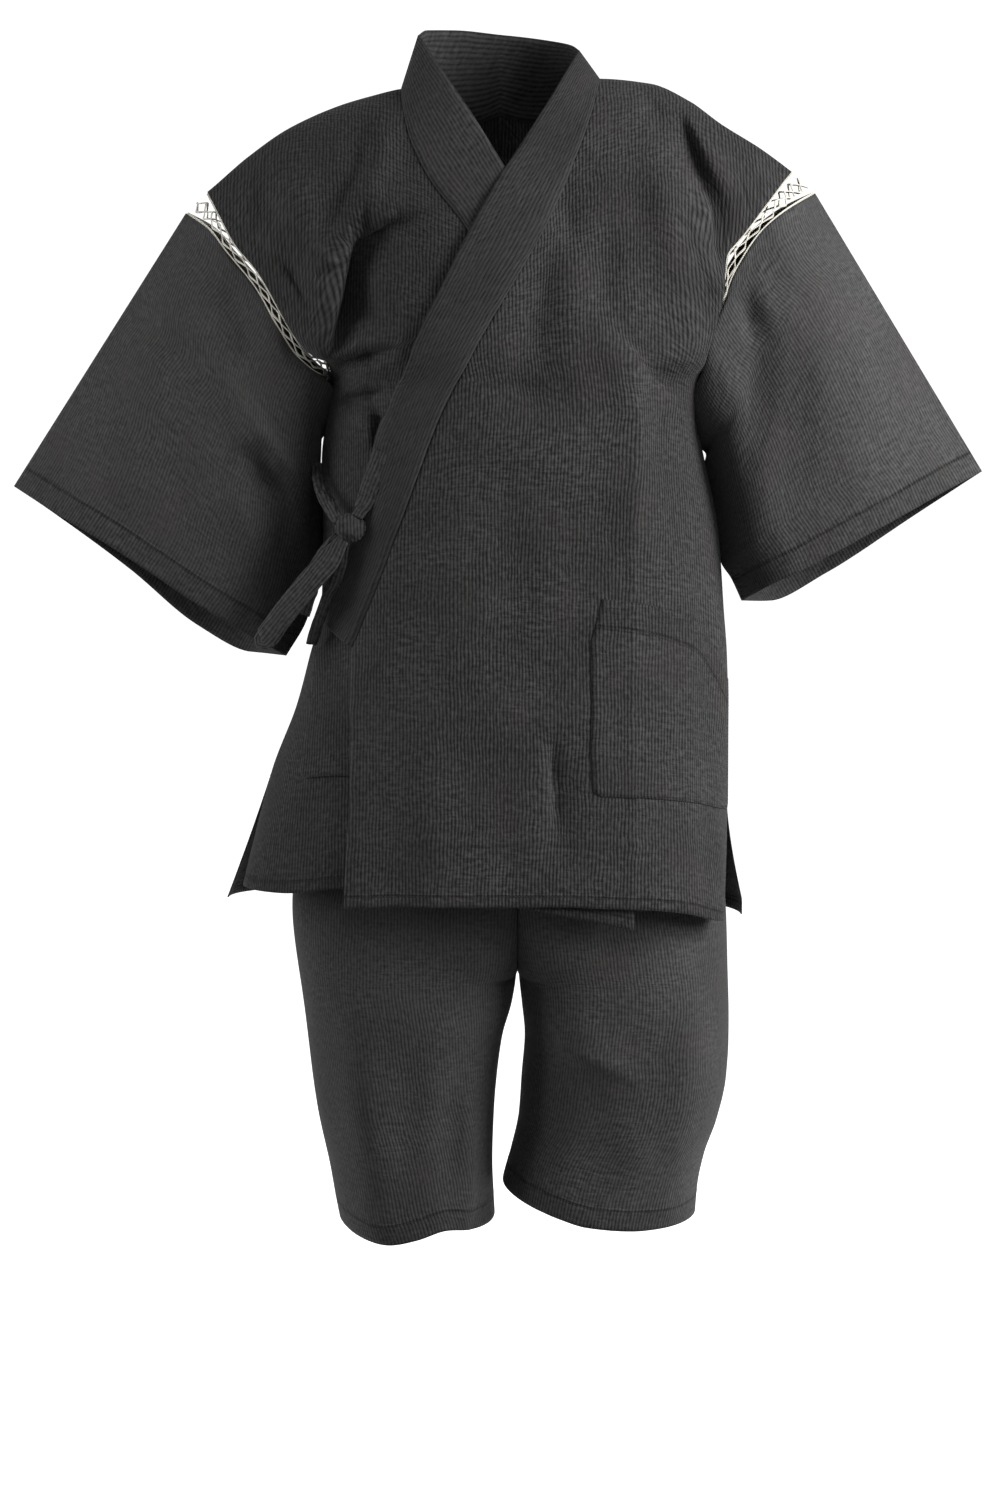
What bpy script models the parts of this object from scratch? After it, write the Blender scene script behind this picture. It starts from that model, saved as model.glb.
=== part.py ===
"""Men's jinbei set, worn: a crossed jacket with laced armholes, and shorts.

Metres, +Z up. The front faces -Y and the wearer's left is at +X. The origin is
at shoulder height in the middle of the neck, where the wearer carries the set.
Every piece of cloth is a thin wall, grown outward from a sheet of points.
"""
from collections import namedtuple
import math

import bmesh
import bpy
import numpy as np

# ---------------------------------------------------------------- driving sizes
CLOTH = 0.0012              # wall of one layer of cloth
COLLAR_CLOTH = 0.0020       # wall of the folded neck band
LACE_CLOTH = 0.0010         # wall of the insertion lace
TIE_CLOTH = 0.0015          # wall of a folded tie
SEAM = 0.0003               # gap between two sewn pieces
OVER_LIFT = 0.0052          # outer front's inner face above the under front's
CENTRE_X = 0.010            # middle of the body
ARMPIT_Z = -0.240
COLLAR_END_Z = -0.4529      # where the neck band stops on the front edges
POCKET_TOP_Z = -0.4159
POCKET_BOTTOM_Z = -0.5775
FRONT_HEM_Z = -0.670
BACK_HEM_Z = -0.692
VENT_TOP_Z = {"left": -0.5996, "right": -0.5756}
SHORTS_CENTRE_X = 0.0148
WAIST_Z = -0.440
WAISTBAND_HEIGHT = 0.034
CROTCH_Z = -0.746
CROTCH_TOP_Z = -0.600       # where the crotch seam starts to curve under
SHORTS_HEM_Z = -0.955

# ---------------------------------------------------------------- mesh densities
PANEL_COLUMNS = 15
COLUMN_DRIFT = 0.05         # shifts the columns a little towards the sides
FRONT_ROWS = (3, 4, 1, 6)   # hem, pocket bottom, neck band's end, pocket top, armpit
SHOULDER_ROWS = 9
NECK_ROWS = 4               # of those, behind the neck's curve
BACK_ROWS = 14
SLEEVE_ROWS = 8
COLLAR_COLUMNS = 3
LACE_CELLS = 13             # in one stretch
LEG_COLUMNS = 18
LEG_ROWS = (8, 8)           # waist to crotch, crotch to hem
FINE = 161                  # samples of a row before it is spaced out evenly

CHARCOAL = (0.045, 0.044, 0.043)
CHARCOAL_DARK = (0.034, 0.033, 0.033)
IVORY = (0.62, 0.59, 0.50)


# ---------------------------------------------------------------- curves
def through(xs, ys, x):
    """Monotone cubic through the points (xs, ys), held level past both ends."""
    xs, ys = np.asarray(xs, float), np.asarray(ys, float)
    step = np.diff(xs)
    slope = np.diff(ys) / step
    tangent = np.concatenate([slope[:1], slope[:-1], slope[-1:]])[:len(xs)]
    before, after = slope[:-1], slope[1:]
    same = before * after > 0
    mean = 2 * before * after / np.where(same, before + after, 1.0)
    tangent[1:-1] = np.where(same, mean, 0.0)
    tangent[0], tangent[-1] = slope[0], slope[-1]
    x = np.clip(np.asarray(x, float), xs[0], xs[-1])
    k = np.clip(np.searchsorted(xs, x) - 1, 0, len(step) - 1)
    t = (x - xs[k]) / step[k]
    return ((1 + 2 * t) * (1 - t) ** 2 * ys[k] + t * (1 - t) ** 2 * step[k] * tangent[k]
            + t * t * (3 - 2 * t) * ys[k + 1] + t * t * (t - 1) * step[k] * tangent[k + 1])


class Table:
    """A short table with named columns, read smoothly along its first column."""

    def __init__(self, columns, rows):
        self.columns = columns.split()
        rows = sorted(rows)
        self.values = {name: [row[k] for row in rows] for k, name in enumerate(self.columns)}

    def __call__(self, column, key):
        return through(self.values[self.columns[0]], self.values[column], key)


def ease(low, high, x):
    """Rise smoothly from 0 at low to 1 at high."""
    t = np.clip((np.asarray(x, float) - low) / (high - low), 0, 1)
    return t * t * (3 - 2 * t)


def lengths(points):
    """Distance along a polyline to each of its points."""
    steps = np.linalg.norm(np.diff(points, axis=0), axis=1)
    return np.concatenate([[0.0], np.cumsum(steps)])


def along(points, distance):
    """Points at the given distances along a polyline."""
    total = lengths(points)
    return np.stack([np.interp(distance, total, points[:, k]) for k in range(3)], axis=-1)


def smooth_path(points, count, drift=0.0):
    """count + 1 points along a smooth curve, evenly spaced or drifted to its end."""
    points = np.asarray(points, float)
    total = lengths(points)
    fine = np.linspace(0, total[-1], 12 * len(points) + 1)
    curve = np.stack([through(total, points[:, k], fine) for k in range(3)], axis=-1)
    even = np.linspace(0, 1, count + 1)
    return along(curve, lengths(curve)[-1] * (even + drift * np.sin(even * math.pi)))


def mirrored_depth(rows):
    """The same rows with the front's depth laid to the back."""
    return [(x, -y, z) for x, y, z in rows]


# ---------------------------------------------------------------- body surface
# Each ring of the body: its sides, and how far the front and back stand out.
RINGS = Table("z left right front back", [
    (-0.240, 0.165, -0.140, 0.128, 0.113),
    (-0.264, 0.162, -0.143, 0.129, 0.110),
    (-0.310, 0.171, -0.149, 0.130, 0.106),
    (-0.370, 0.183, -0.148, 0.129, 0.101),
    (-0.436, 0.188, -0.150, 0.131, 0.101),
    (-0.476, 0.191, -0.160, 0.133, 0.105),
    (-0.517, 0.192, -0.171, 0.135, 0.111),
    (-0.575, 0.192, -0.193, 0.136, 0.119),
    (-0.640, 0.192, -0.208, 0.137, 0.123),
    (-0.710, 0.192, -0.221, 0.139, 0.126),
])
RING_POWER = 2.3
# The pressed ridge of the shoulders, from the right sleeve to the left one.
RIDGE = Table("x z", [
    (-0.2500, -0.0915), (-0.2443, -0.0873), (-0.2090, -0.0575), (-0.1754, -0.0345),
    (-0.1336, -0.0160), (-0.1085, -0.0085), (-0.0809, -0.0020), (0.0000, 0.0060),
    (0.0817, 0.0062), (0.1251, 0.0021), (0.1586, -0.0128), (0.1837, -0.0309),
    (0.2173, -0.0516), (0.2434, -0.0707), (0.2500, -0.0760),
])
# The armhole, by the fraction of the way up from the armpit to the ridge.
ARMHOLE = {
    "left": Table("up x depth", [
        (0.000, 0.1650, 0.000), (0.066, 0.1660, 0.042), (0.150, 0.1700, 0.056),
        (0.250, 0.1760, 0.063), (0.380, 0.1835, 0.068), (0.488, 0.1868, 0.070),
        (0.554, 0.1949, 0.067), (0.615, 0.2028, 0.065), (0.795, 0.2228, 0.050),
        (1.000, 0.2434, 0.000)]),
    "right": Table("up x depth", [
        (0.000, -0.1400, 0.000), (0.066, -0.1425, 0.050), (0.089, -0.1540, 0.060),
        (0.169, -0.1685, 0.068), (0.306, -0.1835, 0.070), (0.462, -0.1993, 0.065),
        (0.624, -0.2179, 0.055), (0.791, -0.2302, 0.040), (1.000, -0.2443, 0.000)]),
}
# Below the vents the edges swing out and part: how far at the hem.
Vent = namedtuple("Vent", "swing part")
VENTS = {("left", "front"): Vent(-0.004, 0.052), ("left", "back"): Vent(0.011, 0.030),
         ("right", "front"): Vent(0.003, 0.032), ("right", "back"): Vent(0.013, 0.030)}
# The left chest swells past its armhole and hides the lower lace.
CHEST_SWELL = Table("up out", [(0.00, 0.008), (0.10, 0.013), (0.20, 0.015), (0.32, 0.012),
                               (0.42, 0.006), (0.52, 0.000), (1.00, 0.000)])
SWELL_END_Z = -0.310
BACK_NECK_UP = 0.89         # the back neck's lowest point, as a fraction of the rise
HEM = {"outer": Table("x z", [(-0.128, -0.6735), (-0.066, -0.6703), (0.045, -0.6699),
                              (0.110, -0.6736), (0.158, -0.6815), (0.190, -0.6923)]),
       "under": Table("x z", [(-0.222, -0.6857), (-0.181, -0.6840), (-0.128, -0.6765),
                              (-0.060, -0.6750), (0.045, -0.6853), (0.110, -0.6936)]),
       "back": Table("x z", [(-0.232, -0.6896), (-0.120, -0.6900), (0.000, -0.6920),
                             (0.120, -0.6960), (0.214, -0.7053)])}

# The rows of a front drop towards its side, so that the pocket's mouth slants.
POCKET_SLANT = Table("z weight", [(-0.670, 0.0), (-0.5775, 0.35), (-0.4159, 1.0), (-0.240, 0.0)])
SLANT_SHAPE = Table("share drop", [(0.00, 0.000), (0.40, 0.000), (0.62, 0.003), (0.84, 0.013),
                                   (0.93, 0.033), (1.00, 0.058)])

# Creases in the cloth: points of each line, with its height (troughs are negative).
Crease = namedtuple("Crease", "x z height width")
FRONT_CREASES = [
    # right armpit, where the chest turns back into the armhole
    [Crease(-0.080, -0.108, 0.000, 0.014), Crease(-0.100, -0.120, -0.010, 0.015),
     Crease(-0.119, -0.134, -0.022, 0.016), Crease(-0.129, -0.162, -0.034, 0.017),
     Crease(-0.136, -0.197, -0.036, 0.017), Crease(-0.139, -0.232, -0.024, 0.016),
     Crease(-0.140, -0.270, -0.008, 0.014), Crease(-0.140, -0.310, 0.000, 0.014)],
    # left armpit, from the neck over the shoulder
    [Crease(0.106, -0.010, 0.000, 0.012), Crease(0.133, -0.033, -0.009, 0.013),
     Crease(0.152, -0.052, -0.017, 0.014), Crease(0.165, -0.075, -0.024, 0.014),
     Crease(0.172, -0.100, -0.027, 0.014), Crease(0.176, -0.134, -0.022, 0.013),
     Crease(0.177, -0.165, -0.008, 0.012), Crease(0.176, -0.190, 0.000, 0.012)],
    # drape down the left breast
    [Crease(0.066, -0.050, 0.000, 0.020), Crease(0.050, -0.120, -0.008, 0.022),
     Crease(0.032, -0.200, -0.008, 0.024), Crease(0.028, -0.280, 0.000, 0.026)],
    # short pinch above the hem
    [Crease(0.044, -0.520, 0.000, 0.014), Crease(0.045, -0.560, -0.006, 0.014),
     Crease(0.048, -0.610, -0.004, 0.016), Crease(0.048, -0.645, 0.000, 0.016)],
    # slack above the right pocket
    [Crease(-0.150, -0.380, 0.000, 0.014), Crease(-0.120, -0.420, -0.005, 0.014),
     Crease(-0.100, -0.470, 0.000, 0.014)],
]
OUTER_CREASES = [   # on the outer front alone
    # pressed ridge that runs down towards the pocket
    [Crease(0.104, -0.150, 0.000, 0.018), Crease(0.108, -0.220, 0.005, 0.018),
     Crease(0.107, -0.330, 0.004, 0.018), Crease(0.104, -0.420, 0.000, 0.018)],
]
BACK_CREASES = [
    [Crease(-0.096, -0.110, 0.000, 0.016), Crease(-0.120, -0.150, -0.007, 0.016),
     Crease(-0.131, -0.195, -0.014, 0.014), Crease(-0.134, -0.250, -0.008, 0.013),
     Crease(-0.130, -0.300, 0.000, 0.013)],
    [Crease(0.126, -0.060, 0.000, 0.015), Crease(0.154, -0.100, -0.008, 0.015),
     Crease(0.162, -0.150, -0.014, 0.013), Crease(0.160, -0.210, -0.012, 0.013),
     Crease(0.154, -0.270, 0.000, 0.013)],
    [Crease(-0.070, -0.250, 0.000, 0.022), Crease(-0.062, -0.340, -0.006, 0.022),
     Crease(-0.075, -0.430, 0.000, 0.022)],
    [Crease(0.075, -0.280, 0.000, 0.024), Crease(0.080, -0.380, -0.006, 0.022),
     Crease(0.066, -0.470, 0.000, 0.024)],
]
CREASES = {"front": FRONT_CREASES, "back": BACK_CREASES}
EDGE_CALM = 10              # how sharply the creases die out at the armhole


def crease_height(x, z, creases):
    """Summed height of the creases at points (x, z)."""
    height = np.zeros(np.broadcast(x, z).shape)
    for rows in creases:
        strongest = np.zeros_like(height)
        for a, b in zip(rows[:-1], rows[1:]):
            run = np.array([b.x - a.x, b.z - a.z])
            t = np.clip(((x - a.x) * run[0] + (z - a.z) * run[1]) / (run @ run), 0, 1)
            distance = np.hypot(x - a.x - t * run[0], z - a.z - t * run[1])
            width = a.width + t * (b.width - a.width)
            value = (a.height + t * (b.height - a.height)) * np.exp(-(distance / width) ** 2)
            strongest = np.where(np.abs(value) > np.abs(strongest), value, strongest)
        height += strongest
    return height


def rise(x, z):
    """Fraction of the way from the armpit to the ridge, 0 at or below the armpit."""
    top = RIDGE("z", x)
    return np.clip((z - ARMPIT_Z) / (top - ARMPIT_Z), 0, 1)


def swell_shape(share):
    """How the swell is shared out across the half chest."""
    return ease(0.70, 0.93, share) * (1 - ease(0.95, 1.0, share))


def side_edges(side, face, z, up):
    """Where the body's side is at each height: its x, and how far its edge stands out."""
    vent_top = VENT_TOP_Z[side]
    vent = VENTS[side, face]
    drop = np.clip((vent_top - z) / (vent_top - FRONT_HEM_Z), 0, 1.3)
    sign = 1 if side == "left" else -1
    low_x = RINGS(side, z) + sign * vent.swing * drop ** 1.4
    low_depth = vent.part * drop ** 1.2
    high_x, high_depth = ARMHOLE[side]("x", up), ARMHOLE[side]("depth", up)
    return np.where(up > 0, high_x, low_x), np.where(up > 0, high_depth, low_depth)


def stand_out(share, face, z, up):
    """Depth of the body's middle, and the share of it left at a part of the half width."""
    low = RINGS(face, z)
    power = 2.1 if face == "front" else 2.6
    high = RINGS(face, ARMPIT_Z) * (1 - up ** power) ** (1 / power)
    share = np.clip(np.abs(share), 0, 1)
    ring = (1 - share ** RING_POWER) ** (1 / RING_POWER)
    soft = 1 - share ** 2.4
    blend = ease(0, 0.35, up)
    return np.where(up > 0, high, low), ring * (1 - blend) + soft * blend


def body_depth(x, z, up, face):
    """How far the body's cloth stands out from the middle plane, and its share across."""
    edge_left, out_left = side_edges("left", face, z, up)
    edge_right, out_right = side_edges("right", face, z, up)
    is_left = x >= CENTRE_X
    edge = np.where(is_left, edge_left, edge_right)
    out = np.where(is_left, out_left, out_right)
    share = np.clip((x - CENTRE_X) / (edge - CENTRE_X), 0, 1)
    middle, profile = stand_out(share, face, z, up)
    mask = (1 - share ** EDGE_CALM) * ease(0.0, 0.25, 1 - up)
    depth = out + (middle - out) * profile + crease_height(x, z, CREASES[face]) * mask
    return depth, share


def on_front(x, z, lift):
    """Points on the body's front at (x, z), moved out along the normal by lift."""
    x, z = np.asarray(x, float), np.asarray(z, float)
    tiny = 0.002
    depth = [body_depth(x + dx, z + dz, rise(x + dx, z + dz), "front")[0]
             for dx, dz in ((0, 0), (tiny, 0), (-tiny, 0), (0, tiny), (0, -tiny))]
    slope_x = (depth[1] - depth[2]) / (2 * tiny)
    slope_z = (depth[3] - depth[4]) / (2 * tiny)
    normal = np.stack([-slope_x, -np.ones_like(x), -slope_z], axis=-1)
    normal /= np.linalg.norm(normal, axis=-1, keepdims=True)
    return np.stack([x, -depth[0], z], axis=-1) + normal * np.asarray(lift)[..., None]


def low_row(side, face, start, level, hem, hem_weight):
    """Closely spaced points of a row below the armpit, from x = start to the side."""
    sign = 1 if side == "left" else -1
    turn = np.linspace(0, 1, FINE)
    flat = np.zeros(FINE)
    z = np.full(FINE, level)
    bend = POCKET_SLANT("weight", level) if face == "front" else 0.0
    for _ in range(3):
        edge, out = side_edges(side, face, z, flat)
        first = math.asin(np.clip((start - CENTRE_X) / (edge[0] - CENTRE_X), -1, 1))
        angle = first + (math.pi / 2 - first) * turn
        x = CENTRE_X + (edge - CENTRE_X) * np.sin(angle)
        drop = SLANT_SHAPE("drop", np.abs(np.sin(angle)))
        z = level + hem_weight * (hem("z", x) - hem("z", CENTRE_X)) - bend * drop
    depth, share = body_depth(x, z, flat, face)
    if (side, face) == ("left", "front"):
        x = x + CHEST_SWELL("out", flat) * swell_shape(share) * ease(SWELL_END_Z, ARMPIT_Z, z)
    return np.stack([x, depth * (-1 if face == "front" else 1), z], axis=-1)


def high_row(side, face, start, inner_up, outer_up):
    """Closely spaced points of a row above the armpit, from x = start to the armhole.

    inner_up and outer_up are the row's fractions of the rise at its two ends.
    """
    turn = np.linspace(0, 1, FINE)
    up = inner_up + (outer_up - inner_up) * turn
    edge, _ = side_edges(side, face, np.full(FINE, ARMPIT_Z), up)
    x = start + (edge - start) * turn
    z = ARMPIT_Z + up * (RIDGE("z", x) - ARMPIT_Z)
    depth, share = body_depth(x, z, up, face)
    if (side, face) == ("left", "front"):
        x = x + CHEST_SWELL("out", up) * swell_shape(share)
    return np.stack([x, depth * (-1 if face == "front" else 1), z], axis=-1)


# ---------------------------------------------------------------- mesh helpers
def sheet_normals(grid):
    """Unit normals of a grid of points, facing across x down."""
    across = np.gradient(grid, axis=1)
    down = np.gradient(grid, axis=0)
    normal = np.cross(across, down)
    return normal / np.maximum(np.linalg.norm(normal, axis=-1, keepdims=True), 1e-9)


def material(name, colour, roughness):
    """A plain cloth or thread finish."""
    made = bpy.data.materials.new(name)
    made.use_nodes = True
    shader = made.node_tree.nodes["Principled BSDF"]
    shader.inputs["Base Color"].default_value = (*colour, 1.0)
    shader.inputs["Roughness"].default_value = roughness
    shader.inputs["Metallic"].default_value = 0.0
    return made


def add_wall(name, points, faces, thickness, finish):
    """An object whose wall grows outward from a sheet of faces."""
    mesh = bpy.data.meshes.new(name)
    mesh.from_pydata([tuple(p) for p in points], [], faces)
    mesh.validate()
    mesh.shade_smooth()
    mesh.materials.append(finish)
    piece = bpy.data.objects.new(name, mesh)
    bpy.context.scene.collection.objects.link(piece)
    wall = piece.modifiers.new("wall", "SOLIDIFY")
    wall.thickness = thickness
    wall.offset = 1.0
    return piece


def add_sheet(name, grid, thickness, finish, flip=False, closed=False):
    """A wall from a grid of points; closed joins its last column to its first."""
    rows, columns = grid.shape[:2]
    faces = []
    for j in range(rows - 1):
        for i in range(columns if closed else columns - 1):
            k = (i + 1) % columns
            quad = (j * columns + i, j * columns + k, (j + 1) * columns + k, (j + 1) * columns + i)
            faces.append(quad[::-1] if flip else quad)
    return add_wall(name, grid.reshape(-1, 3), faces, thickness, finish)


# ---------------------------------------------------------------- body lengths
SEAM_LINE = {   # the neck band's seam on each front, then the front edge below it
    "outer": Table("z x", [
        (-0.7000, -0.1285), (-0.6735, -0.1273), (-0.5826, -0.1219), (-0.4600, -0.1185),
        (-0.4529, -0.1150), (-0.4108, -0.0983), (-0.3611, -0.0816), (-0.2915, -0.0569),
        (-0.2300, -0.0300), (-0.1744, 0.0016), (-0.1116, 0.0366), (-0.0654, 0.0588),
        (-0.0240, 0.0741), (0.0062, 0.0817)]),
    "under": Table("z x", [
        (-0.7000, 0.1090), (-0.6936, 0.1097), (-0.5826, 0.1140), (-0.4600, 0.1165),
        (-0.4529, 0.1150), (-0.4105, 0.1031), (-0.3611, 0.0865), (-0.2915, 0.0618),
        (-0.2211, 0.0324), (-0.1744, 0.0049), (-0.1197, -0.0244), (-0.0694, -0.0612),
        (-0.0363, -0.0750), (-0.0020, -0.0809)]),
}
# The neck band's free edge, by the height of the seam beside it.
COLLAR_EDGE = {
    "outer": Table("seam_z x y z", [
        (-0.4529, -0.1436, -0.070, -0.4411), (-0.4108, -0.1310, -0.092, -0.4000),
        (-0.3611, -0.1165, -0.104, -0.3500), (-0.2915, -0.0935, -0.114, -0.2790),
        (-0.2300, -0.0700, -0.120, -0.2140), (-0.1744, -0.0400, -0.118, -0.1500),
        (-0.1116, -0.0085, -0.100, -0.0905), (-0.0654, 0.0165, -0.080, -0.0500),
        (-0.0240, 0.0430, -0.056, -0.0080), (0.0062, 0.0645, -0.010, 0.0290)]),
    "under": Table("seam_z x y z", [
        (-0.4529, 0.1430, -0.070, -0.4411), (-0.4105, 0.1331, -0.092, -0.4000),
        (-0.3611, 0.1195, -0.104, -0.3500), (-0.2915, 0.0985, -0.114, -0.2760),
        (-0.2211, 0.0735, -0.120, -0.1990), (-0.1744, 0.0475, -0.114, -0.1480),
        (-0.1197, 0.0205, -0.100, -0.0965), (-0.0694, -0.0190, -0.078, -0.0300),
        (-0.0363, -0.0440, -0.050, 0.0080), (-0.0020, -0.0665, -0.006, 0.0420)]),
}
# The neck band behind the neck, by x along the seam.
BACK_COLLAR_EDGE = Table("x edge_x y z", [
    (-0.0809, -0.0665, -0.006, 0.0420), (-0.0660, -0.0600, 0.028, 0.0480),
    (-0.0380, -0.0360, 0.050, 0.0490), (0.0000, 0.0000, 0.059, 0.0460),
    (0.0380, 0.0360, 0.050, 0.0410), (0.0660, 0.0590, 0.026, 0.0350),
    (0.0817, 0.0645, -0.010, 0.0290)])


def overlap_lift(x, z):
    """How far the outer front rides over the under front and its band."""
    edge = COLLAR_EDGE["under"]
    heights = np.linspace(-0.0694, -0.4529, 24)
    far = np.interp(-z, -edge("z", heights), edge("x", heights))
    return OVER_LIFT * (1 - ease(0.004, 0.032, x - far))


def lower_levels():
    """Heights of a front's rows from the hem to the armpit, through the pocket's edges."""
    stops = (FRONT_HEM_Z, POCKET_BOTTOM_Z, COLLAR_END_Z, POCKET_TOP_Z, ARMPIT_Z)
    levels = [FRONT_HEM_Z]
    for low, high, count in zip(stops[:-1], stops[1:], FRONT_ROWS):
        levels.extend(np.linspace(low, high, count + 1)[1:])
    return np.array(levels)


def shoulder_levels(side, face):
    """Each shoulder row's fraction of the rise, at its inner end and at the armhole."""
    up = np.linspace(0, 1, 400)
    x, depth = ARMHOLE[side]("x", up), ARMHOLE[side]("depth", up)
    z = ARMPIT_Z + up * (RIDGE("z", x) - ARMPIT_Z)
    total = lengths(np.stack([x, depth, z], axis=-1))
    share = np.arange(1, SHOULDER_ROWS + 1) / SHOULDER_ROWS
    outer = np.interp(share * total[-1], total, up)
    if face == "front":
        inner = np.sin(share * math.pi / 2)
    else:
        below = SHOULDER_ROWS - NECK_ROWS
        neck = np.arange(NECK_ROWS, 0, -1) / NECK_ROWS
        curve = 1 - (1 - BACK_NECK_UP) * np.sin(neck * math.pi / 2)
        inner = [*np.linspace(0, BACK_NECK_UP, below + 1)[1:-1], *curve, 1.0]
    return list(zip(inner, outer))


def cut_row(row, inner_x, sign):
    """The part of a fine row beyond its inner edge, spaced out into columns."""
    past = (row[:, 0] - inner_x) * sign
    k = int(np.argmax(past > 0))
    if k > 0:
        t = past[k - 1] / (past[k - 1] - past[k])
        row = np.vstack([row[k - 1] + t * (row[k] - row[k - 1]), row[k:]])
    total = lengths(row)[-1]
    even = np.linspace(0, 1, PANEL_COLUMNS + 1)
    share = even + COLUMN_DRIFT * np.sin(even * math.pi)
    return along(row, SEAM / 2 + (total - SEAM) * share)


def body_length(side):
    """The grid of one body length: front hem, up over the shoulder, back hem."""
    layer = "outer" if side == "left" else "under"
    sign = 1 if side == "left" else -1
    seam = SEAM_LINE[layer]
    rows = []
    for z in lower_levels():
        row = low_row(side, "front", seam("x", z) - 0.012 * sign, z,
                      HEM[layer], ease(-0.30, -0.41, z))
        rows.append(cut_row(row, seam("x", row[:, 2]), sign))
    for inner_up, outer_up in shoulder_levels(side, "front"):
        row = high_row(side, "front", -0.05 * sign, inner_up, outer_up)
        rows.append(cut_row(row, seam("x", row[:, 2]), sign))
    front_rows = len(rows)
    neck_x = abs(seam("x", RIDGE("z", 0.081 * sign)))
    for inner_up, outer_up in shoulder_levels(side, "back")[-2::-1]:
        row = high_row(side, "back", 0.0, inner_up, outer_up)
        fall = np.clip((1 - inner_up) / (1 - BACK_NECK_UP), 0, 1)
        inner_x = sign * neck_x * math.sqrt(1 - fall ** 2)
        rows.append(cut_row(row, inner_x, sign))
    for z in np.linspace(ARMPIT_Z, BACK_HEM_Z, BACK_ROWS + 1):
        row = low_row(side, "back", 0.0, z, HEM["back"], ease(-0.45, -0.60, z))
        rows.append(cut_row(row, 0.0, sign))
    grid = np.array(rows)
    if layer == "outer":
        x, z = grid[..., 0], grid[..., 2]
        lift = overlap_lift(x, z) + crease_height(x, z, OUTER_CREASES)
        lift[front_rows - 1:] = 0
        grid = grid + sheet_normals(grid) * lift[..., None]
    return grid, front_rows


# ---------------------------------------------------------------- neck band
def front_band(grid, front_rows, layer):
    """The band's stretch on one front, from its lower end up to the shoulder."""
    levels = lower_levels()
    first = int(np.argmin(np.abs(levels - COLLAR_END_Z)))
    table = COLLAR_EDGE[layer]
    ratio = np.linspace(0, 1, COLLAR_COLUMNS + 1)
    lift = np.full(len(ratio), OVER_LIFT if layer == "outer" else 0.0)
    stations = []
    for j in range(first, front_rows):
        seam = grid[j, 0]
        edge = np.array([float(table(column, seam[2])) for column in "xyz"])
        stand = float(ease(-0.135, -0.045, seam[2]))
        free = seam + (edge - seam) * ratio[:, None]
        laid = on_front(free[:, 0], np.minimum(free[:, 2], -0.02), lift)
        station = laid * (1 - stand) + free * stand
        station[0] = seam
        stations.append(station)
    return stations


def back_band(grid, front_rows):
    """The band's stretch behind the neck on one side, from the shoulder to the middle."""
    ratio = np.linspace(0, 1, COLLAR_COLUMNS + 1)[:, None]
    stations = []
    for seam in grid[front_rows:front_rows + NECK_ROWS, 0]:
        edge = np.array([float(BACK_COLLAR_EDGE(column, seam[0])) for column in ("edge_x", "y", "z")])
        stations.append(seam + (edge - seam) * ratio)
    return stations


def clear_of(points, normals, turn, toward, spare=0.0):
    """Seam points moved along toward, past the wall that they are sewn to.

    turn is 1 if that wall ends on the side of tangent x normal, else -1. A piece
    that leaves the other way lies folded over the wall and starts above it. spare
    is room for a piece that twists as it leaves.
    """
    outward = turn * np.cross(np.gradient(points, axis=0), normals)
    climb = np.sum(normals * toward, axis=-1, keepdims=True)
    folded = (np.sum(outward * toward, axis=-1, keepdims=True) < 0) & (climb > 0)
    beyond = SEAM + CLOTH * np.maximum(climb, 0)
    above = (CLOTH + SEAM) / np.maximum(climb, FOLD_CLIMB)
    return points + toward * (spare + np.where(folded, above, beyond))


def collar_grid(left, right, front_rows):
    """The whole band, from the under front's end to the outer front's end."""
    first = int(np.argmin(np.abs(lower_levels() - COLLAR_END_Z)))
    last = front_rows + NECK_ROWS
    halves = []
    for grid, layer, sign in ((right, "under", -1), (left, "outer", 1)):
        half = np.array(front_band(grid, front_rows, layer) + back_band(grid, front_rows))
        toward = half[:, 1] - half[:, 0]
        toward /= np.linalg.norm(toward, axis=1, keepdims=True)
        normals = sheet_normals(grid)[first:last, 0] * sign
        half[:, 0] = clear_of(half[:, 0], normals, -sign, toward, 2 * SEAM)
        halves.append(half)
    under, outer = halves
    middle = (under[-1] + outer[-1]) / 2
    return np.vstack([under[:-1], middle[None], outer[-2::-1]])


# ---------------------------------------------------------------- sleeves and lace
SLEEVE_HEAD = {     # the sleeve's edge beside the lace, armpit to shoulder, front half
    "left": [(0.1735, 0.000, -0.2600), (0.1760, -0.045, -0.2420), (0.1800, -0.060, -0.2250),
             (0.1835, -0.067, -0.1950), (0.1892, -0.067, -0.1629), (0.2014, -0.065, -0.1384),
             (0.2179, -0.059, -0.1164), (0.2394, -0.044, -0.1000), (0.2627, 0.000, -0.0881)],
    "right": [(-0.1520, 0.000, -0.2590), (-0.1465, -0.048, -0.2400), (-0.1545, -0.058, -0.2345),
              (-0.1691, -0.066, -0.2205), (-0.1837, -0.067, -0.1975), (-0.2010, -0.061, -0.1665),
              (-0.2270, -0.049, -0.1350), (-0.2419, -0.036, -0.1170), (-0.2621, 0.000, -0.1047)],
}
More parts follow.
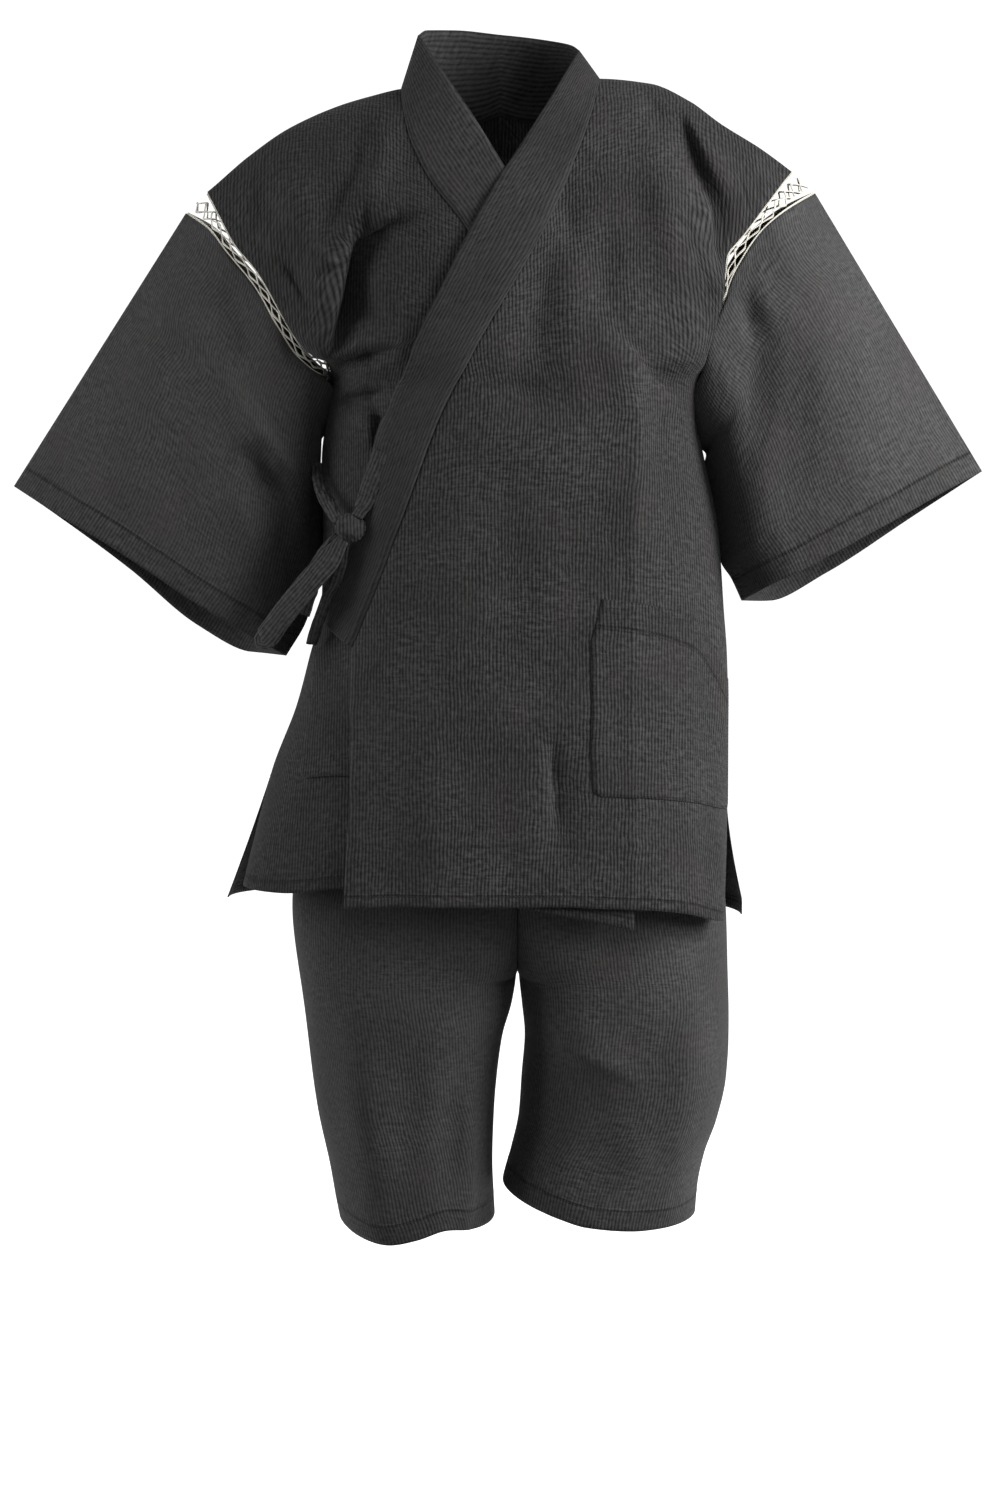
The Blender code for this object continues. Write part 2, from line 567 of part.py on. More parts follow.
CUFF = {            # the cuff, from its lower corner to the pressed top fold
    ("left", "front"): [(0.2074, 0.000, -0.4289), (0.2250, -0.046, -0.4130),
                        (0.2495, -0.058, -0.4004), (0.3165, -0.052, -0.3644),
                        (0.3820, -0.020, -0.3310), (0.4056, 0.000, -0.3206)],
    ("left", "back"): [(0.2074, 0.000, -0.4289), (0.2350, 0.045, -0.4330),
                       (0.2820, 0.060, -0.4099), (0.3425, 0.050, -0.3687),
                       (0.3850, 0.022, -0.3370), (0.4056, 0.000, -0.3206)],
    ("right", "front"): [(-0.1907, 0.000, -0.4756), (-0.2150, -0.046, -0.4540),
                         (-0.2539, -0.058, -0.4279), (-0.3333, -0.052, -0.3744),
                         (-0.3850, -0.022, -0.3460), (-0.4092, 0.000, -0.3332)],
    ("right", "back"): [(-0.1907, 0.000, -0.4756), (-0.2200, 0.045, -0.4770),
                        (-0.2626, 0.060, -0.4556), (-0.3172, 0.052, -0.4073),
                        (-0.3800, 0.022, -0.3560), (-0.4092, 0.000, -0.3332)],
}
SLEEVE_CREASES = {
    ("right", "front"): [
        [Crease(-0.232, -0.175, 0.000, 0.018), Crease(-0.220, -0.240, 0.006, 0.018),
         Crease(-0.200, -0.285, 0.006, 0.016), Crease(-0.170, -0.330, 0.000, 0.014)],
        [Crease(-0.205, -0.290, 0.000, 0.013), Crease(-0.198, -0.330, -0.012, 0.013),
         Crease(-0.178, -0.385, -0.006, 0.013), Crease(-0.170, -0.410, 0.000, 0.013)],
        [Crease(-0.330, -0.260, 0.000, 0.024), Crease(-0.300, -0.320, 0.005, 0.024),
         Crease(-0.270, -0.390, 0.000, 0.024)],
    ],
    ("right", "back"): [
        [Crease(-0.225, -0.190, 0.000, 0.018), Crease(-0.205, -0.260, -0.009, 0.017),
         Crease(-0.180, -0.330, 0.000, 0.016)],
        [Crease(-0.320, -0.250, 0.000, 0.024), Crease(-0.300, -0.330, 0.006, 0.024),
         Crease(-0.275, -0.410, 0.000, 0.024)],
    ],
    ("left", "front"): [
        [Crease(0.215, -0.160, 0.000, 0.016), Crease(0.212, -0.220, -0.008, 0.016),
         Crease(0.206, -0.290, -0.005, 0.016), Crease(0.205, -0.350, 0.000, 0.016)],
        [Crease(0.262, -0.150, 0.000, 0.022), Crease(0.268, -0.230, 0.005, 0.022),
         Crease(0.262, -0.330, 0.000, 0.022)],
    ],
    ("left", "back"): [
        [Crease(0.214, -0.170, 0.000, 0.017), Crease(0.208, -0.250, -0.008, 0.017),
         Crease(0.200, -0.330, 0.000, 0.016)],
        [Crease(0.290, -0.210, 0.000, 0.024), Crease(0.286, -0.300, 0.006, 0.024),
         Crease(0.270, -0.370, 0.000, 0.022)],
    ],
}
HEAD_DRIFT = {"left": 0.062, "right": 0.045}    # sets the head's points square to the lace
UNDERARM_FALL = {"left": 0.006, "right": 0.0125}  # how far the slack hangs towards the body
LACE_RAIL = 0.11            # a rail's share of the lace's width
LACE_NODE = 0.0026          # half the length that two strands share on a rail
LACE_CROSS = 0.0017         # half the size of a crossing
LACE_END = 0.065            # gap between two stretches at the shoulder, as a share of a step
LACE_FOOT = 0.20            # and at the armpit
LACE_SPARE = 0.0013         # room for the lace's twist beside its seams
FOLD_CLIMB = 0.25           # least slope at which a folded piece leaves its wall


def armhole_edge(grid, front_rows, face):
    """A body length's armhole edge, from the armpit to the shoulder."""
    first = sum(FRONT_ROWS)
    if face == "front":
        return grid[first:front_rows, -1]
    return grid[front_rows - 1:front_rows + SHOULDER_ROWS, -1][::-1]


def sleeve_head(side, face, count):
    """The sleeve's edge beside the lace, from the armpit to the shoulder."""
    rows = SLEEVE_HEAD[side]
    if face == "back":
        rows = mirrored_depth(rows)
    return smooth_path(rows, count, HEAD_DRIFT[side])


def sleeve_grid(side):
    """Rings of the sleeve from its head to its cuff, front half first."""
    count = 2 * SHOULDER_ROWS
    halves = []
    for face in ("front", "back"):
        head = sleeve_head(side, face, count)
        cuff = smooth_path(CUFF[side, face], count)
        down = np.linspace(0, 1, SLEEVE_ROWS + 1)[:, None, None]
        sheet = head + (cuff - head) * down
        low = np.linspace(1, 0, count + 1) ** 3
        sign = 1 if side == "left" else -1
        fall = UNDERARM_FALL[side] * 4 * down[..., 0] * (1 - down[..., 0]) * low
        sheet[..., 0] -= sign * fall
        height = crease_height(sheet[..., 0], sheet[..., 2], SLEEVE_CREASES[side, face])
        fade = np.sin(np.linspace(0, math.pi, count + 1)) ** 0.5
        sheet[..., 1] += height * fade * (-1 if face == "front" else 1)
        halves.append(sheet)
    front, back = halves
    return np.concatenate([front, back[:, -2:0:-1]], axis=1)


def lace_sheet(inner, outer):
    """Points and faces of a stretch of ladder lace between two edges."""
    cells = LACE_CELLS
    start = np.linspace(0, lengths(inner)[-1], cells + 1)
    end = np.linspace(0, lengths(outer)[-1], cells + 1)

    def point(cell, across):
        """A point at a place along the cells and across the width."""
        a = along(inner, np.interp(cell, np.arange(cells + 1), start))
        b = along(outer, np.interp(cell, np.arange(cells + 1), end))
        return a + (b - a) * across

    points, faces, seen = [], [], {}

    def vertex(cell, across):
        key = (round(cell, 5), round(across, 5))
        if key not in seen:
            seen[key] = len(points)
            points.append(point(cell, across))
        return seen[key]

    def face(*corners):
        faces.append([vertex(*corner) for corner in corners])

    for k in range(cells):
        pitch = start[k + 1] - start[k]
        width = np.linalg.norm(point(k + 0.5, 1) - point(k + 0.5, 0))
        near, half = LACE_NODE / pitch, LACE_CROSS / pitch
        lift = LACE_CROSS / width
        stops = (k, k + near, k + 1 - near, k + 1)
        for a, b in zip(stops[:-1], stops[1:]):
            face((a, 0), (b, 0), (b, LACE_RAIL), (a, LACE_RAIL))
            face((a, 1 - LACE_RAIL), (b, 1 - LACE_RAIL), (b, 1), (a, 1))
        c = k + 0.5
        west, east, low, high = (c - half, 0.5), (c + half, 0.5), (c, 0.5 - lift), (c, 0.5 + lift)
        face(west, low, east, high)
        face((k, LACE_RAIL), (k + near, LACE_RAIL), low, west)
        face((k + 1 - near, LACE_RAIL), (k + 1, LACE_RAIL), east, low)
        face((k + near, 1 - LACE_RAIL), (k, 1 - LACE_RAIL), west, high)
        face((k + 1, 1 - LACE_RAIL), (k + 1 - near, 1 - LACE_RAIL), high, east)
    return np.array(points), faces


def halfway(points):
    """The points with one more halfway between each two."""
    full = np.repeat(points, 2, axis=0)[:-1]
    full[1::2] = (points[:-1] + points[1:]) / 2
    return full


def add_lace(side, face, grid, front_rows, finish):
    """One stretch of lace between a body length and a sleeve."""
    sign = 1 if side == "left" else -1
    inner = armhole_edge(grid, front_rows, face)
    normals = armhole_edge(sheet_normals(grid) * sign, front_rows, face)
    sleeve = sleeve_grid(side)
    facing = sheet_normals(sleeve) * -sign
    place = np.arange(2 * SHOULDER_ROWS + 1)
    inner, normals = halfway(inner), halfway(normals)
    if face == "back":
        place = -place
    outer, outer_normals = sleeve[0, place], facing[0, place]
    across = outer - inner
    across /= np.linalg.norm(across, axis=1, keepdims=True)
    turn = sign if face == "front" else -sign
    inner = clear_of(inner, normals, turn, across, LACE_SPARE)
    outer = clear_of(outer, outer_normals, -turn, -across, LACE_SPARE)
    for line in (inner, outer):
        line[0] += (line[1] - line[0]) * LACE_FOOT
        line[-1] += (line[-2] - line[-1]) * LACE_END
    points, faces = lace_sheet(inner, outer)
    if (side == "left") == (face == "front"):
        faces = [corners[::-1] for corners in faces]
    return add_wall(f"lace_{side}_{face}", points, faces, LACE_CLOTH, finish)


# ---------------------------------------------------------------- pockets
# Each pocket's first and last column on its panel, at its foot and its mouth.
Patch = namedtuple("Patch", "first_foot first_mouth last_foot last_mouth")
POCKETS = {"left": Patch(6.90, 6.55, 14.0, 14.0), "right": Patch(4.1, 4.6, 11.1, 12.9)}
POCKET_GAP = {"left": 0.0003, "right": 0.0010}


def add_pocket(side, grid, finish):
    """A patch pocket made from its panel's own points, moved out."""
    levels = lower_levels()
    bottom = int(np.argmin(np.abs(levels - POCKET_BOTTOM_Z)))
    top = int(np.argmin(np.abs(levels - POCKET_TOP_Z)))
    patch = POCKETS[side]
    normal = sheet_normals(grid) * (1 if side == "left" else -1)
    moved = grid + normal * (CLOTH + POCKET_GAP[side])
    columns = np.arange(PANEL_COLUMNS + 1)
    points, rows = [], []
    for j in range(bottom, top + 1):
        up = (j - bottom) / (top - bottom)
        first = patch.first_foot + (patch.first_mouth - patch.first_foot) * up
        last = patch.last_foot + (patch.last_mouth - patch.last_foot) * up
        place = [first, *range(math.floor(first) + 1, math.ceil(last)), last]
        rows.append({round(c, 3): len(points) + k for k, c in enumerate(place)})
        points.extend(np.stack([np.interp(place, columns, moved[j, :, k]) for k in range(3)], axis=-1))
    faces = []
    for low, high in zip(rows[:-1], rows[1:]):
        shared = sorted(c for c in low if c in high and c == int(c))
        for a, b in zip(shared[:-1], shared[1:]):
            faces.append((low[a], low[b], high[b], high[a]))
        for keep in (lambda c: c <= shared[0], lambda c: c >= shared[-1]):
            foot = [low[c] for c in sorted(low) if keep(c)]
            mouth = [high[c] for c in sorted(high) if keep(c)]
            if len(foot) + len(mouth) > 2:
                faces.append((*foot, *mouth[::-1]))
    if side == "right":
        faces = [corners[::-1] for corners in faces]
    add_wall(f"pocket_{side}", points, faces, CLOTH, finish)


# ---------------------------------------------------------------- shorts
LEG = {     # outer and inner outline, and how far front and back stand out
    "left": Table("z outer inner front back", [
        (-0.440, 0.1550, 0.0148, 0.100, 0.083), (-0.500, 0.1690, 0.0148, 0.110, 0.096),
        (-0.560, 0.1780, 0.0148, 0.114, 0.113), (-0.620, 0.1845, 0.0148, 0.115, 0.1204),
        (-0.709, 0.1925, 0.0160, 0.114, 0.117), (-0.7463, 0.1930, 0.0171, 0.112, 0.108),
        (-0.7723, 0.1945, 0.0197, 0.110, 0.104), (-0.801, 0.1945, 0.0223, 0.108, 0.100),
        (-0.8359, 0.1925, 0.0197, 0.105, 0.097), (-0.8708, 0.1850, 0.0172, 0.102, 0.094),
        (-0.9006, 0.1745, 0.0103, 0.099, 0.092), (-0.930, 0.1685, 0.0030, 0.097, 0.091),
        (-0.960, 0.1662, 0.0000, 0.095, 0.090)]),
    "right": Table("z outer inner front back", [
        (-0.440, -0.1250, 0.0148, 0.100, 0.083), (-0.500, -0.1420, 0.0148, 0.110, 0.096),
        (-0.560, -0.1560, 0.0148, 0.114, 0.113), (-0.620, -0.1680, 0.0148, 0.115, 0.1200),
        (-0.6944, -0.1768, 0.0140, 0.114, 0.117), (-0.7463, -0.1700, 0.0128, 0.112, 0.108),
        (-0.7700, -0.1665, 0.0095, 0.110, 0.104), (-0.801, -0.1630, 0.0010, 0.108, 0.100),
        (-0.8359, -0.1590, -0.0038, 0.105, 0.097), (-0.8656, -0.1546, -0.0062, 0.102, 0.094),
        (-0.9119, -0.1448, -0.0077, 0.099, 0.092), (-0.9400, -0.1400, -0.0066, 0.097, 0.091),
        (-0.9646, -0.1353, -0.0052, 0.095, 0.090)]),
}
LEG_HEM = {
    "left": Table("x z", [(0.000, -0.9270), (0.0314, -0.9370), (0.0507, -0.9430), (0.0732, -0.9490),
                          (0.1202, -0.9530), (0.1662, -0.9525)]),
    "right": Table("x z", [(-0.1353, -0.9560), (-0.1190, -0.9610), (-0.0943, -0.9645),
                           (-0.0697, -0.9600), (-0.0445, -0.9530), (-0.0217, -0.9560),
                           (-0.0052, -0.9570)]),
}
LEG_CREASES = {
    ("left", "front"): [
        [Crease(0.158, -0.720, 0.000, 0.018), Crease(0.162, -0.820, 0.004, 0.018),
         Crease(0.150, -0.930, 0.003, 0.018)],
        [Crease(0.030, -0.770, 0.000, 0.015), Crease(0.070, -0.795, 0.006, 0.016),
         Crease(0.120, -0.825, 0.000, 0.018)],
        [Crease(0.040, -0.730, 0.000, 0.014), Crease(0.080, -0.745, -0.005, 0.014),
         Crease(0.130, -0.748, 0.000, 0.014)],
    ],
    ("right", "front"): [
        [Crease(-0.020, -0.830, 0.000, 0.012), Crease(-0.024, -0.880, 0.005, 0.012),
         Crease(-0.026, -0.930, 0.000, 0.012)],
        [Crease(-0.120, -0.740, 0.000, 0.020), Crease(-0.116, -0.840, 0.004, 0.020),
         Crease(-0.100, -0.940, 0.003, 0.020)],
        [Crease(-0.020, -0.730, 0.000, 0.014), Crease(-0.060, -0.742, -0.005, 0.014),
         Crease(-0.110, -0.738, 0.000, 0.014)],
    ],
    ("left", "back"): [
        [Crease(0.030, -0.745, 0.000, 0.015), Crease(0.070, -0.760, -0.006, 0.015),
         Crease(0.120, -0.750, 0.000, 0.016)],
        [Crease(0.110, -0.780, 0.000, 0.020), Crease(0.106, -0.860, 0.005, 0.020),
         Crease(0.098, -0.930, 0.003, 0.020)],
    ],
    ("right", "back"): [
        [Crease(0.000, -0.745, 0.000, 0.015), Crease(-0.045, -0.762, -0.006, 0.015),
         Crease(-0.100, -0.750, 0.000, 0.016)],
        [Crease(-0.085, -0.790, 0.000, 0.020), Crease(-0.080, -0.860, 0.005, 0.020),
         Crease(-0.072, -0.930, 0.003, 0.020)],
    ],
}
LEG_POWER = 2.25


def leg_row(side, level):
    """One row of a leg, from its front seam round the outside to its back seam."""
    table = LEG[side]
    half = {}
    for face in ("front", "back"):
        turn = np.linspace(0, 1, FINE)
        z = np.full(FINE, level)
        for _ in range(2):
            inner, outer = table("inner", z), table("outer", z)
            share = (1 - np.cos(turn * math.pi)) / 2
            x = inner + (outer - inner) * share
            weight = ease(-0.85, -0.93, level)
            z = level + weight * (LEG_HEM[side]("z", x) - SHORTS_HEM_Z)
        depth = table(face, z)
        fall = np.clip((CROTCH_TOP_Z - level) / (CROTCH_TOP_Z - CROTCH_Z), 0, 1)
        closed = 1 - math.sqrt(1 - fall ** 2)
        hip = (1 - share ** LEG_POWER) ** (1 / LEG_POWER)
        leg = np.clip(1 - np.abs(2 * share - 1) ** LEG_POWER, 0, 1) ** (1 / LEG_POWER)
        out = depth * (hip * (1 - closed) + leg * closed)
        creases = crease_height(x, z, LEG_CREASES[side, face])
        out = out + creases * leg * ease(-0.60, -0.68, z)
        half[face] = np.stack([x, out * (-1 if face == "front" else 1), z], axis=-1)
    row = np.vstack([half["front"], half["back"][-2::-1]])
    total = lengths(row)[-1]
    return along(row, np.linspace(SEAM / 2, total - SEAM / 2, LEG_COLUMNS + 1))


def leg_grid(side):
    """One leg of the shorts, waist to hem."""
    sign = 1 if side == "left" else -1
    upper = np.linspace(WAIST_Z - WAISTBAND_HEIGHT - SEAM, CROTCH_Z, LEG_ROWS[0] + 1)
    lower = np.linspace(CROTCH_Z, SHORTS_HEM_Z, LEG_ROWS[1] + 1)[1:]
    grid = np.array([leg_row(side, level) for level in (*upper, *lower)])
    seam_rows = len(upper)
    grid[:seam_rows, [0, -1], 0] = SHORTS_CENTRE_X
    sunk = np.abs(sheet_normals(grid)[:seam_rows, [0, -1], 0])
    grid[:seam_rows, [0, -1], 0] += sign * (SEAM / 2 + CLOTH * np.sqrt(sunk))
    return grid


def waistband_grid():
    """The waist casing as a closed ring of three rows."""
    rows = []
    for level in np.linspace(WAIST_Z, WAIST_Z - WAISTBAND_HEIGHT, 3):
        left, right = leg_row("left", level), leg_row("right", level)
        ring = np.vstack([left[:-1], right[::-1][:-1]])
        rows.append(ring)
    return np.array(rows)


# ---------------------------------------------------------------- ties
Strap = namedtuple("Strap", "x y z width twist")
TIES = {
    "tie_front": [Strap(-0.0960, -0.1136, -0.2985, 0.016, 0.0),
                  Strap(-0.1030, -0.1115, -0.3160, 0.017, 0.0),
                  Strap(-0.1090, -0.1085, -0.3340, 0.015, 0.0),
                  Strap(-0.1166, -0.1063, -0.3515, 0.009, 0.1)],
    "tie_side": [Strap(-0.1520, -0.0420, -0.3110, 0.009, 0.9),
                 Strap(-0.1495, -0.0620, -0.3250, 0.011, 0.8),
                 Strap(-0.1420, -0.0840, -0.3420, 0.011, 0.5),
                 Strap(-0.1321, -0.0992, -0.3555, 0.008, 0.3)],
    "tie_tail_long": [Strap(-0.1262, -0.0990, -0.3722, 0.006, 0.2),
                      Strap(-0.1325, -0.0890, -0.3960, 0.009, 0.4),
                      Strap(-0.1450, -0.0760, -0.4240, 0.009, 0.7),
                      Strap(-0.1570, -0.0670, -0.4600, 0.010, 1.0)],
    "tie_tail_short": [Strap(-0.1325, -0.0960, -0.3670, 0.008, 0.1),
                       Strap(-0.1470, -0.0880, -0.3860, 0.011, 0.1),
                       Strap(-0.1570, -0.0770, -0.4100, 0.015, 0.2),
                       Strap(-0.1660, -0.0700, -0.4340, 0.016, 0.3)],
}
TIE_LOOP = [Strap(-0.1277, -0.1062, -0.3698, 0.010, 0.0), Strap(-0.1455, -0.1010, -0.3920, 0.019, 0.0),
            Strap(-0.1660, -0.0930, -0.4160, 0.020, 0.0), Strap(-0.1870, -0.0830, -0.4420, 0.019, 0.0),
            Strap(-0.1970, -0.0770, -0.4550, 0.018, 0.0), Strap(-0.1940, -0.0710, -0.4540, 0.018, 0.0),
            Strap(-0.1830, -0.0760, -0.4400, 0.018, 0.0), Strap(-0.1630, -0.0850, -0.4140, 0.019, 0.0),
            Strap(-0.1440, -0.0940, -0.3900, 0.018, 0.0), Strap(-0.1305, -0.0990, -0.3730, 0.011, 0.0)]
TIE_FACING = np.array([-0.45, -1.0, 0.10])
KNOT_PLACE = (-0.1225, -0.1030, -0.3605)
KNOT_RADII = (0.0105, 0.0075, 0.0105)


def strap_grid(straps, count):
    """Two-edged rows of a strap that faces outward and twists by its table."""
    centre = smooth_path([(s.x, s.y, s.z) for s in straps], count)
    spot = np.linspace(0, 1, len(straps))
    where = lengths(centre) / lengths(centre)[-1]
    width = through(spot, [s.width for s in straps], where)
    twist = through(spot, [s.twist for s in straps], where)
    tangent = np.gradient(centre, axis=0)
    tangent /= np.linalg.norm(tangent, axis=1, keepdims=True)
    across = np.cross(tangent, TIE_FACING)
    across /= np.linalg.norm(across, axis=1, keepdims=True)
    out = np.cross(across, tangent)
    across = across * np.cos(twist)[:, None] + out * np.sin(twist)[:, None]
    half = across * (width / 2)[:, None]
    return np.stack([centre - half, centre, centre + half], axis=1)


def add_knot(finish):
    """The tight knot, a rounded lump."""
    mesh = bpy.data.meshes.new("tie_knot")
    shape = bmesh.new()
    bmesh.ops.create_uvsphere(shape, u_segments=12, v_segments=8, radius=1.0)
    bmesh.ops.scale(shape, vec=KNOT_RADII, verts=shape.verts)
    bmesh.ops.translate(shape, vec=KNOT_PLACE, verts=shape.verts)
    shape.to_mesh(mesh)
    shape.free()
    mesh.shade_smooth()
    mesh.materials.append(finish)
    bpy.context.scene.collection.objects.link(bpy.data.objects.new("tie_knot", mesh))


# ---------------------------------------------------------------- the set
def add_jacket():
    """Body lengths, neck band, lace, sleeves and pockets."""
    grids = {}
    for side in ("left", "right"):
        grids[side], front_rows = body_length(side)
        add_sheet(f"jacket_{side}_panel", grids[side], CLOTH,
                  material(f"{side}_panel_cloth", CHARCOAL, 0.85), flip=side == "right")
        add_pocket(side, grids[side], material(f"{side}_pocket_cloth", CHARCOAL, 0.85))
        add_sheet(f"sleeve_{side}", sleeve_grid(side), CLOTH,
                  material(f"{side}_sleeve_cloth", CHARCOAL, 0.85), flip=side == "left", closed=True)
        for face in ("front", "back"):
            add_lace(side, face, grids[side], front_rows,
                     material(f"{side}_{face}_lace_thread", IVORY, 0.6))
    add_sheet("collar", collar_grid(grids["left"], grids["right"], front_rows), COLLAR_CLOTH,
              material("collar_cloth", CHARCOAL, 0.85))


def add_shorts():
    """Two legs and the waist casing."""
    for side in ("left", "right"):
        add_sheet(f"shorts_{side}_leg", leg_grid(side), CLOTH,
                  material(f"{side}_leg_cloth", CHARCOAL, 0.85), flip=side == "left")
    add_sheet("waistband", waistband_grid(), CLOTH,
              material("waistband_cloth", CHARCOAL_DARK, 0.85), flip=True, closed=True)


def add_ties():
    """The outer ties in a half bow."""
    for name, straps in TIES.items():
        add_sheet(name, strap_grid(straps, 6), TIE_CLOTH, material(f"{name}_cloth", CHARCOAL, 0.85))
    add_sheet("tie_loop", strap_grid(TIE_LOOP, 16), TIE_CLOTH,
              material("tie_loop_cloth", CHARCOAL, 0.85))
    add_knot(material("tie_knot_cloth", CHARCOAL, 0.85))


def main():
    """Clear the scene and build the set."""
    for old in list(bpy.data.objects):
        bpy.data.objects.remove(old, do_unlink=True)
    add_jacket()
    add_shorts()
    add_ties()


main()
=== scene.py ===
"""Looks of a worn jinbei set: crepe cloth, insertion lace, stitching and studio.

Metres, +Z up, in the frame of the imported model. The front faces -Y and the
wearer's left is at +X.
"""

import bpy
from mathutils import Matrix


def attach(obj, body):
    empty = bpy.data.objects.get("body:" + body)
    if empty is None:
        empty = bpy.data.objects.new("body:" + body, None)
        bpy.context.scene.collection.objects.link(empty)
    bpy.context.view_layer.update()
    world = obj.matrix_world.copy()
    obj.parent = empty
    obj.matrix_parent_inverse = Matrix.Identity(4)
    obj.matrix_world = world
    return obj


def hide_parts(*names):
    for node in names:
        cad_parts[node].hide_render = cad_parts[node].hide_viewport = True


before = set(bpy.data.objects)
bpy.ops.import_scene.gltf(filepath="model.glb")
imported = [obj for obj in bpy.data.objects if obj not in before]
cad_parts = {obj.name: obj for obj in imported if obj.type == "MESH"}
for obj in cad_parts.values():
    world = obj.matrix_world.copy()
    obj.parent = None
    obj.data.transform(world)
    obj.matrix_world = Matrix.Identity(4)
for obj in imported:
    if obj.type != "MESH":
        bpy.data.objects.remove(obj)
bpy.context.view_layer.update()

from collections import namedtuple
from collections.abc import Callable, Iterable, Sequence
from dataclasses import dataclass
from enum import Enum
import logging
import math

import bpy
import numpy as np
from mathutils import Vector

LOG = logging.getLogger("jinbei")
Array = np.ndarray
Finish = bpy.types.Material
Piece = bpy.types.Object
Socket = bpy.types.NodeSocket
Numbers = float | Array
Tone = tuple[float, float, float]
Line = tuple[Array, Array]  # the points of a line and the outward normals there

# ---- driving sizes
CLOTH = 0.0012  # wall of one layer of cloth
COLLAR_CLOTH = 0.0020  # wall of the folded neck band
TIE_CLOTH = 0.0015  # wall of a folded tie
SEAM = 0.0003  # gap between two sewn pieces
OVER_LIFT = 0.0052  # outer front's inner face above the under front's
CENTRE_X = 0.010  # middle of the body
ARMPIT_Z = -0.240
COLLAR_END_Z = -0.4529  # where the neck band stops on the front edges
POCKET_TOP_Z = -0.4159
POCKET_BOTTOM_Z = -0.5775
FRONT_HEM_Z = -0.670
BACK_HEM_Z = -0.692
SHORTS_CENTRE_X = 0.0148
WAIST_Z = -0.440
WAISTBAND_HEIGHT = 0.034
CROTCH_Z = -0.746
CROTCH_TOP_Z = -0.600  # where the crotch seam starts to curve under
SHORTS_HEM_Z = -0.955
SWELL_END_Z = -0.310  # where the left chest's swell ends below the armpit
BACK_NECK_UP = 0.89  # the back neck's lowest point, as a fraction of the rise
NECK_HALF = 0.081  # half the neck's width on the shoulders' ridge
BAND_STAND = (-0.135, -0.045)  # heights over which the neck band comes off the chest
BAND_TOP_Z = -0.02  # the highest place of the chest that the band is laid on
OVERLAP_TOP_Z = -0.0694  # where the outer front starts to cover the under band's edge
OVERLAP_FADE = (0.004, 0.032)  # how far past that edge the outer front comes down again
TUCK = 0.0006  # how far a seam's edge runs under the piece beside it
GRAIN_LINE = 0.120  # where the body lengths' ribs hang quite straight
GRAIN_SHIFT = 0.0011  # how far a pocket's ribs miss those of its panel
HEM_STITCH = 0.0018  # from a hem's fold to its stitches
EDGE_STITCH = 0.0025  # from a pocket's edge to its stitches
FRONT_STITCH = 0.008  # from a front's edge to its stitches
VENT_STITCH = 0.006  # from a vent's edge to its stitches
MILLIMETRES = 1000  # in a metre
FRACTIONS = ("up", "share", "weight")  # columns of the tables that aren't in millimetres
FINE = 241  # samples of a row before it is spaced out evenly
PATH_STEPS = 12  # samples of a smooth path for each of its points
EDGE_STEPS = 24  # samples of the under band's edge
NEAR_ROWS = 40  # rows in which a line of stitches is looked for
FOLD_CLIMB = 0.25  # least slope at which a folded piece leaves its wall
BAND_PUFF = 0.0008  # how far the folded neck band rounds out
PATCH_COLUMNS = 15  # columns in which the pockets' places are given
POCKET_COLUMNS = 44
FAR_FROM_HEM = 9.0  # stands for no hem at all
NOISE_CELLS = 61  # cells after which the random heights repeat
COLUMN_DRIFT = 0.05  # shifts the columns a little towards the sides
ROW_SPARE = 0.012  # how far a low row starts before its seam
NECK_SPARE = 0.05  # how far past the middle a shoulder row starts
RING_POWER = 2.3  # how square the body's rings are
YOKE_POWER = 2.4  # the same of the rows across the shoulders
YOKE_UP = 0.35  # fraction of the rise over which the one becomes the other
LEG_POWER = 2.25  # how square the legs' rings are
RIDGE_CALM = 0.14  # part of the rise over which creases fade at the ridge
EDGE_CALM = 10  # how sharply the creases die out at the armhole
ARMPIT_BLUR = 9  # rows over which the cloth's turn at the armpit is softened
CROTCH_BLUR = 16  # rows over which the legs' turn at the crotch is softened


class Side(Enum):
    """The wearer's own side of a piece."""

    LEFT = "left"
    RIGHT = "right"

    @property
    def sign(self) -> int:
        """1 on the side of +X, else -1."""
        return 1 if self is Side.LEFT else -1


class Face(Enum):
    """The front or the back half of the body."""

    FRONT = "front"
    BACK = "back"

    @property
    def sign(self) -> int:
        """-1 towards -Y, the front, else 1."""
        return -1 if self is Face.FRONT else 1


class Layer(Enum):
    """Which of the crossed fronts a piece of cloth is, or the back."""

    OUTER = "outer"
    UNDER = "under"
    BACK = "back"


LEFT, RIGHT = Side
FRONT, BACK = Face
OUTER, UNDER = Layer.OUTER, Layer.UNDER


